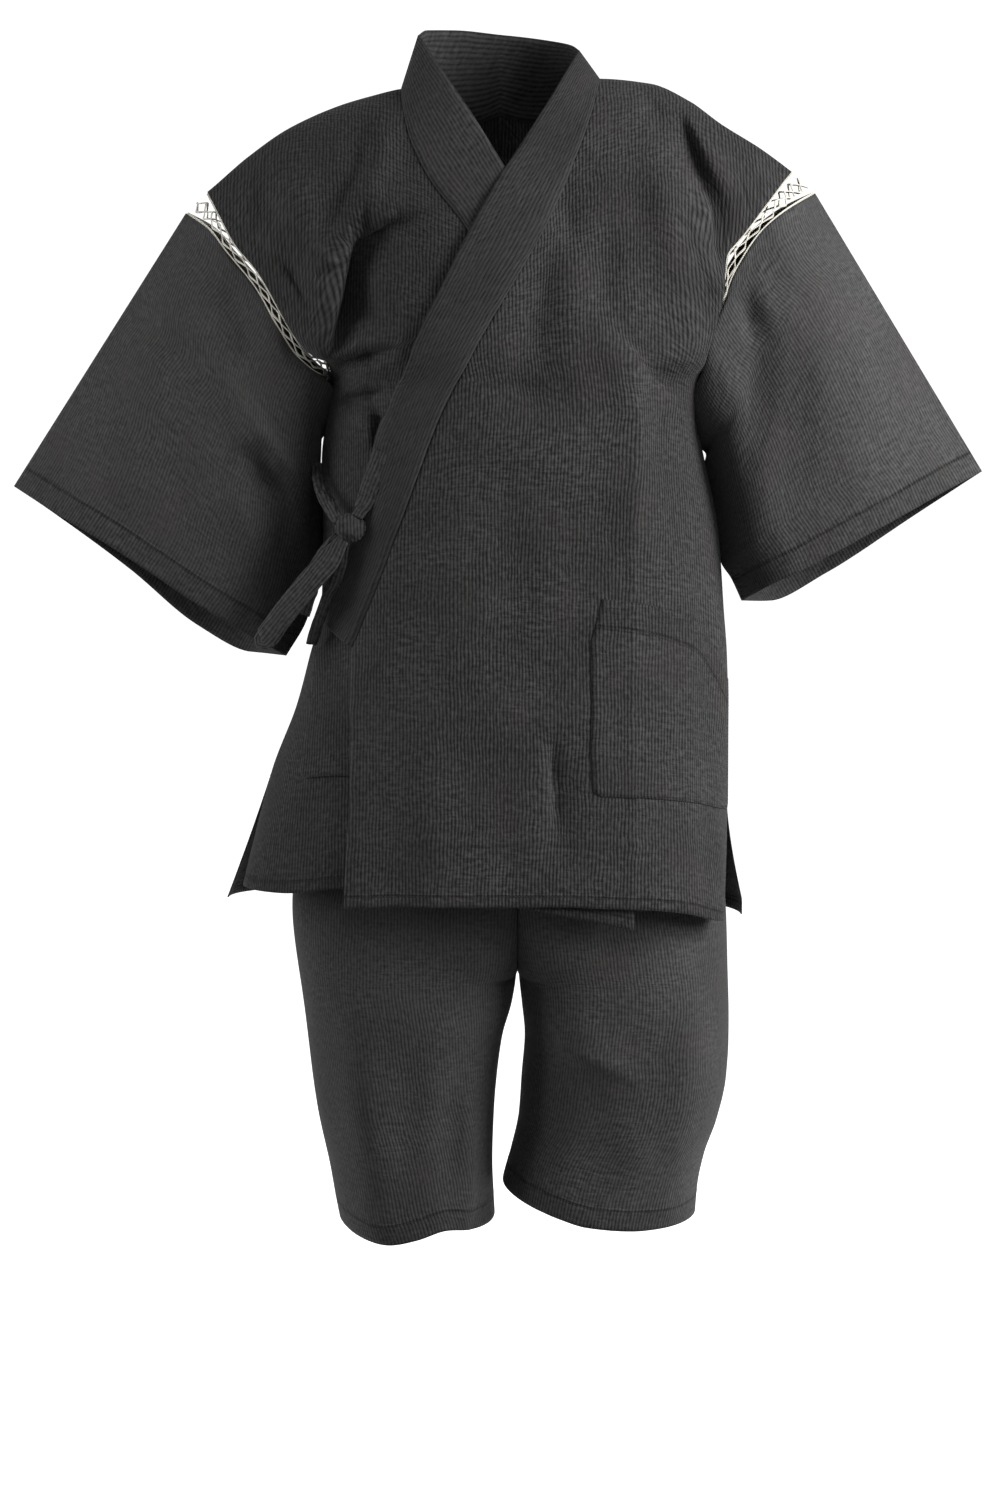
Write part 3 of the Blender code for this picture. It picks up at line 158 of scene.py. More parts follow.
# ---- curves
def through(xs: Sequence[float], ys: Sequence[float], x: Numbers) -> Numbers:
    """Read a monotone cubic, held level past both ends.

    Args:
        xs: Rising places of the known points.
        ys: Their values.
        x: Places to read.

    Returns:
        The values at x.
    """
    xs, ys = np.asarray(xs, float), np.asarray(ys, float)
    step = np.diff(xs)
    slope = np.diff(ys) / step
    tangent = np.concatenate([slope[:1], slope[:-1], slope[-1:]])[:len(xs)]
    before, after = slope[:-1], slope[1:]
    same = before * after > 0
    mean = 2 * before * after / np.where(same, before + after, 1.0)
    tangent[1:-1] = np.where(same, mean, 0.0)
    tangent[0], tangent[-1] = slope[0], slope[-1]
    x = np.clip(np.asarray(x, float), xs[0], xs[-1])
    k = np.clip(np.searchsorted(xs, x) - 1, 0, len(step) - 1)
    t = (x - xs[k]) / step[k]
    return ((1 + 2 * t) * (1 - t) ** 2 * ys[k] + t * (1 - t) ** 2 * step[k] * tangent[k]
            + t * t * (3 - 2 * t) * ys[k + 1] + t * t * (t - 1) * step[k] * tangent[k + 1])


class Table:
    """A short table with named columns, read smoothly along its first column."""

    def __init__(self, columns: str, rows: list[tuple[float, ...]]) -> None:
        """Sort the rows by their first column.

        Args:
            columns: The columns' names, parted by spaces.
            rows: One value for each column, in millimetres or a fraction.
        """
        self.columns = columns.split()
        rows = sorted(rows)
        self.values = {name: [row[k] / (1 if name in FRACTIONS else MILLIMETRES) for row in rows]
                       for k, name in enumerate(self.columns)}

    def __call__(self, column: str, key: Numbers) -> Numbers:
        """Read one column at the given places of the first one."""
        return through(self.values[self.columns[0]], self.values[column], key)


def ease(low: float, high: float, x: Numbers) -> Numbers:
    """Rise smoothly from 0 at low to 1 at high."""
    t = np.clip((np.asarray(x, float) - low) / (high - low), 0, 1)
    return t * t * (3 - 2 * t)


def lengths(points: Array) -> Array:
    """Distance along a polyline to each of its points, which may carry more values."""
    steps = np.linalg.norm(np.diff(points[:, :3], axis=0), axis=1)
    return np.concatenate([[0.0], np.cumsum(steps)])


def along_with(points: Array, total: Array, distance: Numbers) -> Array:
    """Points of a line at places measured along another one."""
    return np.stack([np.interp(distance, total, column) for column in points.T], axis=-1)


def along(points: Array, distance: Numbers) -> Array:
    """Points at the given distances along a polyline, with what they carry."""
    return along_with(points, lengths(points), distance)


def smooth_path(points: Sequence, count: int, drift: float = 0.0) -> Array:
    """Space points out along a smooth curve.

    Args:
        points: Points that the curve runs through.
        count: Number of steps.
        drift: How far the points crowd towards the end.

    Returns:
        count + 1 points.
    """
    points = np.asarray(points, float)
    total = lengths(points)
    fine = np.linspace(0, total[-1], PATH_STEPS * len(points) + 1)
    curve = np.stack([through(total, points[:, k], fine) for k in range(3)], axis=-1)
    even = np.linspace(0, 1, count + 1)
    return along(curve, lengths(curve)[-1] * (even + drift * np.sin(even * math.pi)))


def unit(vectors: Array) -> Array:
    """Vectors of the same direction and length 1."""
    return vectors / np.maximum(np.linalg.norm(vectors, axis=-1, keepdims=True), 1e-9)


def unevenness(x: Numbers, z: Numbers, size: tuple[float, float], seed: int) -> Array:
    """Smooth random heights between -1 and 1.

    Args:
        x: Places across.
        z: Places down.
        size: Width and height of one bump.
        seed: Chooses the pattern.

    Returns:
        A height for each place.
    """
    table = np.random.RandomState(seed).uniform(-1, 1, (NOISE_CELLS, NOISE_CELLS))
    u, v = np.asarray(x) / size[0], np.asarray(z) / size[1]
    i, j = np.floor(u).astype(int), np.floor(v).astype(int)
    s, t = ease(0, 1, u - i), ease(0, 1, v - j)

    def corner(a: int, b: int) -> Array:
        """The random value at one corner of each place's cell."""
        return table[(i + a) % NOISE_CELLS, (j + b) % NOISE_CELLS]

    low = corner(0, 0) * (1 - s) + corner(1, 0) * s
    high = corner(0, 1) * (1 - s) + corner(1, 1) * s
    return low * (1 - t) + high * t


# ---- tables
# Tables, outlines, creases and ties are in millimetres, apart from columns of fractions.
# A crease's points give its place, how high it stands (a trough is negative), its width,
# and a lean that widens the left side of its line and sharpens the right, or the reverse.
Crease = namedtuple("Crease", "x z height width lean", defaults=(0.0,))
CreaseLines = list[list[Crease]]


def creases(*lines: list[tuple[float, ...]]) -> CreaseLines:
    """Read the creases in a piece of cloth, in metres."""
    return [[Crease(*(part / MILLIMETRES for part in spot[:4]), *spot[4:]) for spot in line]
            for line in lines]


def outline(points: Sequence[tuple[float, ...]]) -> Array:
    """Read the points of an outline, in metres."""
    return np.array(points) / MILLIMETRES


VENT_TOP_Z = {LEFT: -0.5996, RIGHT: -0.5756}
# Each ring of the body: its sides, and how far the front and back stand out.
RINGS = Table("z left right front back", [(-240, 165, -140, 128, 113), (-264, 162, -143, 129, 110),
    (-310, 171, -149, 130, 106), (-370, 183, -148, 129, 101), (-436, 188, -150, 131, 101),
    (-476, 191, -160, 133, 105), (-517, 192, -171, 135, 111), (-575, 192, -193, 136, 119),
    (-640, 192, -208, 137, 123), (-710, 192, -221, 139, 126)])
# The pressed ridge of the shoulders, from the right sleeve to the left one.
RIDGE = Table("x z", [(-250, -91.5), (-244.3, -87.3), (-209, -57.5), (-175.4, -34.5),
    (-133.6, -16), (-108.5, -8.5), (-80.9, -2), (0, 6), (81.7, 6.2), (125.1, 2.1), (158.6, -12.8),
    (183.7, -30.9), (217.3, -51.6), (243.4, -70.7), (250, -76)])
# The armhole, by the fraction of the way up from the armpit to the ridge.
ARMHOLE = {
    LEFT: Table("up x depth", [(0, 165, 0), (0.066, 166, 42), (0.15, 170, 56),
        (0.25, 176, 63), (0.38, 183.5, 68), (0.488, 186.8, 70), (0.554, 194.9, 67),
        (0.615, 202.8, 65), (0.795, 222.8, 50), (1, 243.4, 0)]),
    RIGHT: Table("up x depth", [(0, -140, 0), (0.066, -142.5, 50), (0.089, -154, 60),
        (0.169, -168.5, 68), (0.306, -183.5, 70), (0.462, -199.3, 65), (0.624, -217.9, 55),
        (0.791, -230.2, 40), (1, -244.3, 0)]),
}
# Below the vents the edges swing out and part: how far at the hem.
Vent = namedtuple("Vent", "swing part")
VENTS = {(LEFT, FRONT): Vent(-0.004, 0.052), (LEFT, BACK): Vent(0.011, 0.030),
         (RIGHT, FRONT): Vent(0.003, 0.032), (RIGHT, BACK): Vent(0.013, 0.030)}
# The left chest swells past its armhole and hides the lower lace.
CHEST_SWELL = Table("up out", [(0, 7), (0.1, 11), (0.2, 12), (0.32, 11), (0.42, 6), (0.52, 0),
    (1, 0)])
HEM = {
    OUTER: Table("x z", [(-128, -673.5), (-66, -670.3), (45, -669.9), (110, -673.6),
        (158, -681.5), (190, -692.3)]),
    UNDER: Table("x z", [(-222, -685.7), (-181, -684), (-128, -676.5), (-60, -679),
        (45, -695.5), (110, -709.5)]),
    Layer.BACK: Table("x z", [(-232, -689.6), (-120, -690), (0, -692), (120, -696),
        (214, -705.3)]),
}
# The rows of a front drop towards its side, so that the pocket's mouth slants.
POCKET_SLANT = Table("z weight", [(-670, 0), (-577.5, 0.05), (-415.9, 1), (-240, 0)])
SLANT_SHAPE = Table("share drop", [(0, 0), (0.4, 0), (0.62, 3), (0.84, 13), (0.93, 33), (1, 58)])
FRONT_CREASES = creases(
    # right armpit, where the chest turns back into the armhole
    [(-70, -105, 0, 12, 0.62), (-91, -112, -12, 14, 0.62), (-109, -120, -20, 15, 0.62),
     (-122, -131, -28, 16, 0.62), (-127, -147, -34, 16, 0.62), (-131, -172, -36, 16, 0.62),
     (-137, -200, -26, 15, 0.62), (-140, -220, -10, 14, 0.62), (-142, -245, 0, 14, 0.62)],
    # left armpit, from the neck over the shoulder
    [(111, 1, 0, 12, -0.4), (129, -8, -7, 14, -0.45), (145, -23, -11, 15, -0.5),
     (156, -45, -16, 15, -0.5), (164, -71, -20, 14, -0.4), (171, -102, -21, 13, 0.4),
     (174, -133, -12, 12, 0.6), (175, -160, 0, 12, 0.6)],
    # drape down the left breast
    [(66, -50, 0, 20), (50, -120, -8, 22), (32, -200, -8, 24), (28, -280, 0, 26)],
    # short pinch above the hem
    [(44, -520, 0, 14), (45, -560, -6, 14), (48, -610, -4, 16), (48, -645, 0, 16)],
    # slack above the right pocket
    [(-150, -380, 0, 14), (-120, -420, -5, 14), (-100, -470, 0, 14)],
    # finer folds at the shoulders, the armpits and down the fronts
    [(-97, -10, 0, 12), (-99, -45, 6, 12), (-109, -83, 8, 11), (-135, -126, 3, 10),
     (-146, -144, 0, 10)],
    [(-108, -15, 0, 10), (-112, -65, -10.15, 10), (-131, -106, -8.7, 10), (-149, -134, 0, 9)],
    [(-165, -49, 0, 12), (-162, -98, 5.5, 12), (-161, -151, 0, 11)],
    [(-192, -60, 0, 12), (-196, -98, -8.7, 12), (-196, -130, 0, 10)],
    [(-217, -77, 0, 10), (-215, -98, 4, 10), (-206, -123, 0, 8)],
    [(-186, -131, 0, 7, 0.5), (-171, -155, -7.975, 7, 0.5), (-152, -186, 0, 6, 0.5)],
    [(-164, -144, 0, 9), (-151, -167, 4, 8), (-144, -193, 0, 7)],
    [(139, -3, 0, 7, 0.4), (154, -18, 4, 7, 0.4), (164, -38, 6, 7, 0.4), (170, -59, 4, 7, 0.4),
     (174, -79, 0, 7, 0.4)],
    [(-75, -97, 0, 8), (-95, -101, 3, 7), (-122, -118, 4, 7), (-136, -144, 5, 6),
     (-143, -179, 4, 6), (-149, -213, 0, 6)],
    [(-141, -231, 0, 6, -0.5), (-128, -225, -16, 7, -0.5), (-108, -218, -23, 7, -0.5),
     (-83, -213, 0, 5, -0.5)],
    [(-133, -238, 0, 7), (-110, -233, 6, 6), (-90, -229, 0, 6)],
    [(-140, -260, 0, 6, -0.5), (-123, -255, -19, 7, -0.5), (-106, -251, -20, 7, -0.5),
     (-90, -246, 0, 5, -0.5)],
    [(-109, -259, 0, 5, 0.4), (-100, -272, -14, 6, 0.4), (-101, -288, -10, 6, 0.4),
     (-105, -301, 0, 5, 0.4)],
    [(-127, -279, 0, 8), (-104, -270, 5, 7), (-85, -259, 0, 6)],
    [(-124, -175, 0, 12), (-104, -189, -5.8, 12), (-80, -199, 0, 10)],
    [(-121, -144, 0, 12), (-98, -158, 3, 12), (-69, -163, 0, 10)],
    [(81, -184, 0, 12, 0.45), (106, -215, -4, 10, 0.5), (131, -245, -6, 9, 0.5),
     (158, -277, 0, 9, 0.45)],
    [(96, -174, 0, 13), (130, -211, 1, 13), (165, -251, 0, 11)],
    [(117, -1, 0, 8), (126, -18, -8.7, 8), (137, -40, 0, 8)],
    [(165, -35, 0, 8), (185, -58, 4, 8), (201, -75, 0, 8)],
    [(127, -45, 0, 15), (134, -94, 6, 15), (144, -144, 4, 14), (155, -183, 0, 12)],
    [(156, -126, 0, 10), (159, -175, -5.8, 10), (164, -216, 0, 10)],
    [(166, -282, 0, 10), (169, -357, -7.25, 10), (177, -433, 0, 10)],
    [(145, -290, 0, 12), (150, -356, 4, 12), (158, -431, 0, 12)],
    [(-65, -491, 0, 26), (-59, -573, 3.2, 26), (-62, -656, 0, 26)],
    [(0, -320, 0, 22), (10, -417, -4.35, 22), (3, -516, 0, 22)],
    [(-31, -232, 0, 13), (16, -248, -4.35, 13), (65, -255, 0, 13)],
    [(-41, -279, 0, 13), (8, -292, 2.5, 13), (57, -287, 0, 13)],
    [(127, -313, 0, 14), (115, -362, 3.2, 14), (123, -411, 0, 14)],
    [(82, -78, 0, 14), (85, -142, -4.64, 14), (78, -199, 0, 14)],
    [(49, -118, 0, 13), (53, -174, 2.6, 13), (45, -239, 0, 13)])
BACK_CREASES = creases(
    [(-96, -110, 0, 16), (-120, -150, -7, 16), (-131, -195, -14, 14), (-134, -250, -8, 13),
     (-130, -300, 0, 13)],
    [(126, -60, 0, 15), (154, -100, -8, 15), (162, -150, -14, 13), (160, -210, -12, 13),
     (154, -270, 0, 13)],
    [(-70, -250, 0, 22), (-62, -340, -6, 22), (-75, -430, 0, 22)],
    [(75, -280, 0, 24), (80, -380, -6, 22), (66, -470, 0, 24)])
CREASES = {FRONT: FRONT_CREASES, BACK: BACK_CREASES}
OUTER_CREASES = creases(   # on the outer front alone
    # pressed ridge that runs down towards the pocket
    [(104, -150, 0, 18), (108, -220, 5, 18), (107, -330, 4, 18), (104, -420, 0, 18)],
    # finer pressed lines and folds
    [(102, -199, 0, 3.5), (107, -261, 1.7, 3), (107, -500, 1.7, 3), (107, -669, 1.2, 3)],
    [(-115, -615, 0, 3.5), (-41, -617, 1.2, 3), (49, -613, 1.2, 3), (167, -628, 0, 3.5)],
    [(43, -524, 0, 3.6), (43, -548, -4, 3.4), (46, -586, -4, 3.4), (46, -608, 0, 3.6)],
    [(34, -532, 0, 7), (35, -565, 2.2, 7), (36, -606, 0, 7)],
    [(-58, -669, 0, 12), (-52, -631, 2, 12), (-49, -582, 0, 12)],
    [(4, -671, 0, 12), (7, -640, -2, 12), (5, -598, 0, 12)])
SEAM_LINE = {   # the neck band's seam on each front, then the front edge below it
    OUTER: Table("z x", [(-700, -128.5), (-673.5, -127.3), (-582.6, -121.9), (-460, -118.5),
        (-452.9, -115), (-410.8, -98.3), (-361.1, -81.6), (-291.5, -56.9), (-230, -30),
        (-174.4, 1.6), (-111.6, 36.6), (-65.4, 58.8), (-24, 74.1), (6.2, 81.7)]),
    UNDER: Table("z x", [(-700, 109), (-693.6, 109.7), (-582.6, 114), (-460, 116.5),
        (-452.9, 115), (-410.5, 103.1), (-361.1, 86.5), (-291.5, 61.8), (-221.1, 32.4),
        (-174.4, 4.9), (-119.7, -24.4), (-69.4, -61.2), (-36.3, -75), (-2, -80.9)]),
}
# The neck band's free edge, by the height of the seam beside it.
COLLAR_EDGE = {
    OUTER: Table("seam_z x y z", [(-452.9, -143.6, -70, -441.1), (-410.8, -131, -92, -400),
        (-361.1, -116.5, -104, -350), (-291.5, -93.5, -114, -279), (-230, -70, -120, -214),
        (-174.4, -40, -118, -150), (-111.6, -8.5, -100, -90.5), (-65.4, 16.5, -80, -50),
        (-24, 43, -56, -8), (6.2, 64.5, -10, 29)]),
    UNDER: Table("seam_z x y z", [(-452.9, 143, -70, -441.1), (-410.5, 133.1, -92, -400),
        (-361.1, 119.5, -104, -350), (-291.5, 98.5, -114, -276), (-221.1, 73.5, -120, -199),
        (-174.4, 47.5, -114, -148), (-119.7, 20.5, -100, -96.5), (-69.4, -19, -78, -30),
        (-36.3, -44, -50, 8), (-2, -66.5, -6, 42)]),
}
# The neck band behind the neck, by x along the seam.
BACK_COLLAR_EDGE = Table("x edge_x y z", [(-80.9, -66.5, -6, 42), (-66, -60, 28, 48),
    (-38, -36, 50, 49), (0, 0, 59, 46), (38, 36, 50, 41), (66, 59, 26, 35), (81.7, 64.5, -10, 29)])
SLEEVE_HEAD = {   # the sleeve's edge beside the lace, armpit to shoulder, front half
    LEFT: [(173.5, 0, -260), (176, -45, -242), (180, -60, -225), (183.5, -67, -195),
        (189.2, -67, -162.9), (201.4, -65, -138.4), (217.9, -59, -116.4), (239.4, -44, -100),
        (262.7, 0, -88.1)],
    RIGHT: [(-152, 0, -259), (-146.5, -48, -240), (-154.5, -58, -234.5),
        (-169.1, -66, -220.5), (-183.7, -67, -197.5), (-201, -61, -166.5), (-227, -49, -135),
        (-241.9, -36, -117), (-262.1, 0, -104.7)],
}
CUFF = {   # the cuff, from its lower corner to the pressed top fold
    (LEFT, FRONT): [(207.4, 0, -428.9), (225, -46, -413), (249.5, -58, -400.4),
        (316.5, -52, -364.4), (382, -20, -331), (405.6, 0, -320.6)],
    (LEFT, BACK): [(207.4, 0, -428.9), (235, 45, -433), (282, 60, -409.9),
        (342.5, 50, -368.7), (385, 22, -337), (405.6, 0, -320.6)],
    (RIGHT, FRONT): [(-190.7, 0, -475.6), (-215, -46, -454), (-253.9, -58, -427.9),
        (-333.3, -52, -374.4), (-385, -22, -346), (-409.2, 0, -333.2)],
    (RIGHT, BACK): [(-190.7, 0, -475.6), (-220, 45, -477), (-262.6, 60, -455.6),
        (-317.2, 52, -407.3), (-380, 22, -356), (-409.2, 0, -333.2)],
}
SLEEVE_CREASES = {
    (RIGHT, FRONT): creases(
        [(-232, -175, 0, 18), (-220, -240, 6, 18), (-200, -285, 6, 16), (-170, -330, 0, 14)],
        [(-205, -290, 0, 13), (-198, -330, -12, 13), (-178, -385, -6, 13), (-170, -410, 0, 13)],
        [(-330, -260, 0, 24), (-300, -320, 5, 24), (-270, -390, 0, 24)],
        [(-229, -134, 0, 14), (-221, -175, -6, 15), (-215, -216, -8, 15), (-201, -268, 0, 12)],
        [(-251, -144, 0, 16), (-249, -200, 5, 16), (-240, -274, 0, 16)],
        [(-210, -251, 0, 9, -0.6), (-197, -279, 6, 9, -0.6), (-179, -306, 7, 9, -0.6),
         (-161, -328, 0, 8, -0.5)],
        [(-203, -291, 0, 11), (-189, -322, -9, 12), (-173, -357, -7, 12), (-162, -392, 0, 10)],
        [(-222, -282, 0, 14), (-219, -341, 5, 14), (-208, -408, 0, 14)],
        [(-290, -200, 0, 20), (-302, -274, 4, 20), (-308, -358, 0, 20)],
        [(-257, -291, 0, 14), (-262, -341, -4, 14), (-258, -399, 0, 14)],
        [(-338, -292, 0, 12), (-291, -316, -2.5, 12), (-237, -324, 0, 12)],
        [(-205, -175, 0, 10), (-188, -216, 5, 10), (-169, -251, 0, 10)]),
    (RIGHT, BACK): creases(
        [(-225, -190, 0, 18), (-205, -260, -9, 17), (-180, -330, 0, 16)],
        [(-320, -250, 0, 24), (-300, -330, 6, 24), (-275, -410, 0, 24)]),
    (LEFT, FRONT): creases(
        [(215, -160, 0, 16), (212, -220, -5, 16), (206, -290, -3, 16), (205, -350, 0, 16)],
        [(262, -150, 0, 22), (268, -230, 5, 22), (262, -330, 0, 22)],
        [(228, -93, 0, 14), (236, -134, 3, 14), (233, -184, 0, 14)],
        [(193, -167, 0, 9, 0.5), (202, -190, -4.4, 9, 0.5), (212, -218, 0, 9, 0.5)],
        [(208, -149, 0, 9), (218, -175, 3, 9), (225, -208, 0, 9)],
        [(176, -250, 0, 18), (188, -291, 5, 18), (204, -367, 5, 18), (218, -424, 2, 18)],
        [(290, -175, 0, 18), (300, -258, 2.5, 18), (291, -341, 0, 18)],
        [(253, -200, 0, 16), (247, -282, -2.475, 16), (253, -382, 0, 16)],
        [(223, -144, 0, 10), (248, -175, -1.65, 11), (275, -200, 0, 10)]),
    (LEFT, BACK): creases(
        [(214, -170, 0, 17), (208, -250, -8, 17), (200, -330, 0, 16)],
        [(290, -210, 0, 24), (286, -300, 6, 24), (270, -370, 0, 22)]),
}
LEG = {   # outer and inner outline, and how far front and back stand out
    LEFT: Table("z outer inner front back", [(-440, 155, 14.8, 100, 83),
        (-500, 169, 14.8, 110, 96), (-560, 178, 14.8, 114, 113), (-620, 184.5, 14.8, 115, 120.4),
        (-709, 192.5, 16, 114, 117), (-746.3, 193, 17.1, 112, 108),
        (-772.3, 194.5, 19.7, 110, 104), (-801, 194.5, 22.3, 108, 100),
        (-835.9, 192.5, 19.7, 105, 97), (-870.8, 185, 17.2, 102, 94),
        (-900.6, 174.5, 10.3, 99, 92), (-930, 168.5, 3, 97, 91), (-960, 166.2, 0, 95, 90)]),
    RIGHT: Table("z outer inner front back", [(-440, -125, 14.8, 100, 83),
        (-500, -142, 14.8, 110, 96), (-560, -156, 14.8, 114, 113), (-620, -168, 14.8, 115, 120),
        (-694.4, -176.8, 14, 114, 117), (-746.3, -170, 12.8, 112, 108),
        (-770, -166.5, 9.5, 110, 104), (-801, -163, 1, 108, 100), (-835.9, -159, -3.8, 105, 97),
        (-865.6, -154.6, -6.2, 102, 94), (-911.9, -144.8, -7.7, 99, 92),
        (-940, -140, -6.6, 97, 91), (-964.6, -135.3, -5.2, 95, 90)]),
}
LEG_HEM = {
    LEFT: Table("x z", [(0, -927), (31.4, -937), (50.7, -943), (73.2, -949), (120.2, -953),
        (166.2, -952.5)]),
    RIGHT: Table("x z", [(-135.3, -956), (-119, -961), (-94.3, -964.5), (-69.7, -960),
        (-44.5, -953), (-21.7, -956), (-5.2, -957)]),
}
LEG_CREASES = {
    (LEFT, FRONT): creases(
        [(158, -720, 0, 18), (162, -820, 4, 18), (150, -930, 3, 18)],
        [(30, -770, 0, 15), (70, -795, 6, 16), (120, -825, 0, 18)],
        [(40, -730, 0, 14), (80, -745, -5, 14), (130, -748, 0, 14)],
        [(20, -704, -4, 13), (83, -707, -11, 14), (159, -700, -6, 13)],
        [(12, -682, -8, 13), (17, -715, -10, 13), (25, -753, -3, 11)],
        [(160, -702, 0, 16), (164, -813, 5, 16), (145, -931, 3, 16)],
        [(24, -785, 0, 6, 0.5), (50, -795, 7, 7, 0.5), (83, -808, 6, 7, 0.5),
         (117, -822, 0, 8, 0.4)],
        [(23, -743, 0, 10), (55, -761, -6, 11), (100, -771, 0, 12)],
        [(50, -712, 0, 10), (91, -717, -7, 10), (140, -712, 0, 10)],
        [(40, -756, 0, 10), (67, -780, 4, 10), (108, -793, 0, 10)],
        [(83, -830, 0, 18), (75, -881, -4, 18), (63, -939, 0, 16)],
        [(117, -839, 0, 16), (117, -890, 3, 16), (109, -948, 0, 16)],
        [(29, -824, 0, 12), (34, -875, -4, 12), (40, -926, 0, 12)]),
    (RIGHT, FRONT): creases(
        [(-20, -830, 0, 12), (-24, -880, 5, 12), (-26, -930, 0, 12)],
        [(-120, -740, 0, 20), (-116, -840, 4, 20), (-100, -940, 3, 20)],
        [(-20, -730, 0, 14), (-60, -742, -5, 14), (-110, -738, 0, 14)],
        [(-168, -697, -6, 13), (-91, -694, -11, 14), (0, -702, -4, 13)],
        [(5, -682, -8, 13), (1, -715, -10, 13), (-5, -751, -3, 11)],
        [(-124, -738, 0, 16), (-117, -835, 5, 16), (-106, -950, 3, 16)],
        [(-25, -811, 0, 6, -0.4), (-23, -867, 7, 6, -0.4), (-25, -944, 6, 6, -0.4)],
        [(-38, -781, 0, 10), (-42, -858, -5, 11), (-45, -942, 0, 10)],
        [(-168, -715, 0, 9), (-116, -704, -8, 9, -0.3), (-50, -704, 0, 9)],
        [(5, -749, 0, 10), (-32, -759, -6, 11), (-75, -754, 0, 12)],
        [(0, -770, 0, 10), (-37, -781, 4, 10), (-73, -780, 0, 12)],
        [(-75, -780, 0, 18), (-73, -847, -4, 18), (-80, -935, 0, 18)],
        [(-150, -770, 0, 12), (-143, -839, -4, 12), (-131, -916, 0, 12)]),
    (LEFT, BACK): creases(
        [(30, -745, 0, 15), (70, -760, -6, 15), (120, -750, 0, 16)],
        [(110, -780, 0, 20), (106, -860, 5, 20), (98, -930, 3, 20)]),
    (RIGHT, BACK): creases(
        [(0, -745, 0, 15), (-45, -762, -6, 15), (-100, -750, 0, 16)],
        [(-85, -790, 0, 20), (-80, -860, 5, 20), (-72, -930, 3, 20)]),
}
# Folds that lie over the cloth beside them: the way in which each lip leans and
# its line, whose heights here are how far it leans.
Lip = namedtuple("Lip", "dx dz line")
LIPS = {
    (RIGHT, FRONT): [
        Lip(1, 0, creases([(-128, -123, 0, 6), (-130, -131, 6, 6), (-134, -146, 8, 6),
            (-139, -172, 8, 6), (-144, -198, 6, 6), (-147, -215, 0, 6)])),
        Lip(0.4, -0.9, creases([(-72, -98, 0, 6), (-91, -104, 5, 6), (-111, -113, 7, 6),
            (-124, -123, 3, 6), (-131, -134, 0, 6)])),
    ],
    (LEFT, FRONT): [
        Lip(-1, 0, creases([(42, -533, 0, 5), (43, -553, 3, 5), (44, -583, 3, 5),
            (46, -605, 0, 5)])),
        Lip(-1, 0, creases([(157, -16, 0, 7), (168, -40, 3, 7), (174, -66, 0, 7)])),
        Lip(1, 0, creases([(164, -86, 0, 5), (166, -103, 6, 6), (168, -125, 6, 6),
            (171, -146, 0, 5)])),
    ],
    (RIGHT, BACK): [
        Lip(1, 0, creases([(-126, -130, 0, 7), (-141, -180, 6, 8), (-142, -235, 0, 7)])),
    ],
    (LEFT, BACK): [
        Lip(-1, 0, creases([(166, -85, 0, 7), (172, -140, 6, 8), (168, -200, 0, 7)])),
    ],
}
# Gap that shows between the body and the underarm, by height.
UNDERARM_GAP = {
    LEFT: Table("z gap", [(-430, 16), (-410, 8), (-395, 0), (-315, -1), (-304, 3), (-295, -3),
        (-272, -3), (-265, 3), (-258, -6)]),
    RIGHT: Table("z gap", [(-476, 20), (-450, 12), (-415, 6), (-395, 0), (-330, -1),
        (-312, 2), (-300, 5), (-288, -1), (-275, -4), (-260, -7)]),
}
# The middle of each tie, its width, and how far it twists in radians.
Strap = namedtuple("Strap", "x y z width twist")
TIES = {
    "tie_front": [(-96, -113.6, -298.5, 16, 0), (-103, -111.5, -316, 17, 0),
        (-109, -108.5, -334, 15, 0), (-116.6, -106.3, -351.5, 9, 0.1)],
    "tie_side": [(-152, -42, -311, 9, 0.9), (-149.5, -62, -325, 11, 0.8),
        (-142, -84, -342, 11, 0.5), (-132.1, -99.2, -355.5, 8, 0.3)],
    "tie_tail_long": [(-126.2, -99, -372.2, 6, 0.2), (-132.5, -89, -396, 9, 0.4),
        (-145, -76, -424, 9, 0.7), (-157, -67, -460, 10, 1)],
    "tie_tail_short": [(-132.5, -96, -367, 8, 0.1), (-147, -88, -386, 11, 0.1),
        (-157, -77, -410, 15, 0.2), (-166, -70, -434, 16, 0.3)],
    "tie_loop": [(-127.7, -106.2, -369.8, 10, 0), (-145.5, -101, -392, 19, 0),
        (-166, -93, -416, 20, 0), (-187, -83, -442, 19, 0), (-197, -77, -455, 18, 0),
        (-194, -71, -454, 18, 0), (-183, -76, -440, 18, 0), (-163, -85, -414, 19, 0),
        (-144, -94, -390, 18, 0), (-130.5, -99, -373, 11, 0)],
}
TIE_FACING = np.array([-0.45, -1.0, 0.10])
KNOT_PLACE = (-0.1225, -0.1030, -0.3605)
KNOT_SWELL = (0.0132, 0.0100, 0.0122)       # the knot's half width, depth and height
# Slight unevenness all over: height and the width and length of one bump.
DRAPE = [(0.0019, (0.050, 0.150)), (0.0009, (0.028, 0.050)), (0.00038, (0.013, 0.017))]
DRAPE_SEED = {FRONT: 40, BACK: 80}
SLEEVE_SEED, LEG_SEED, TIE_SEED = 17, 29, 60
ARCH_POWER = {FRONT: 2.1, BACK: 2.6}      # how squarely the body turns in at the top
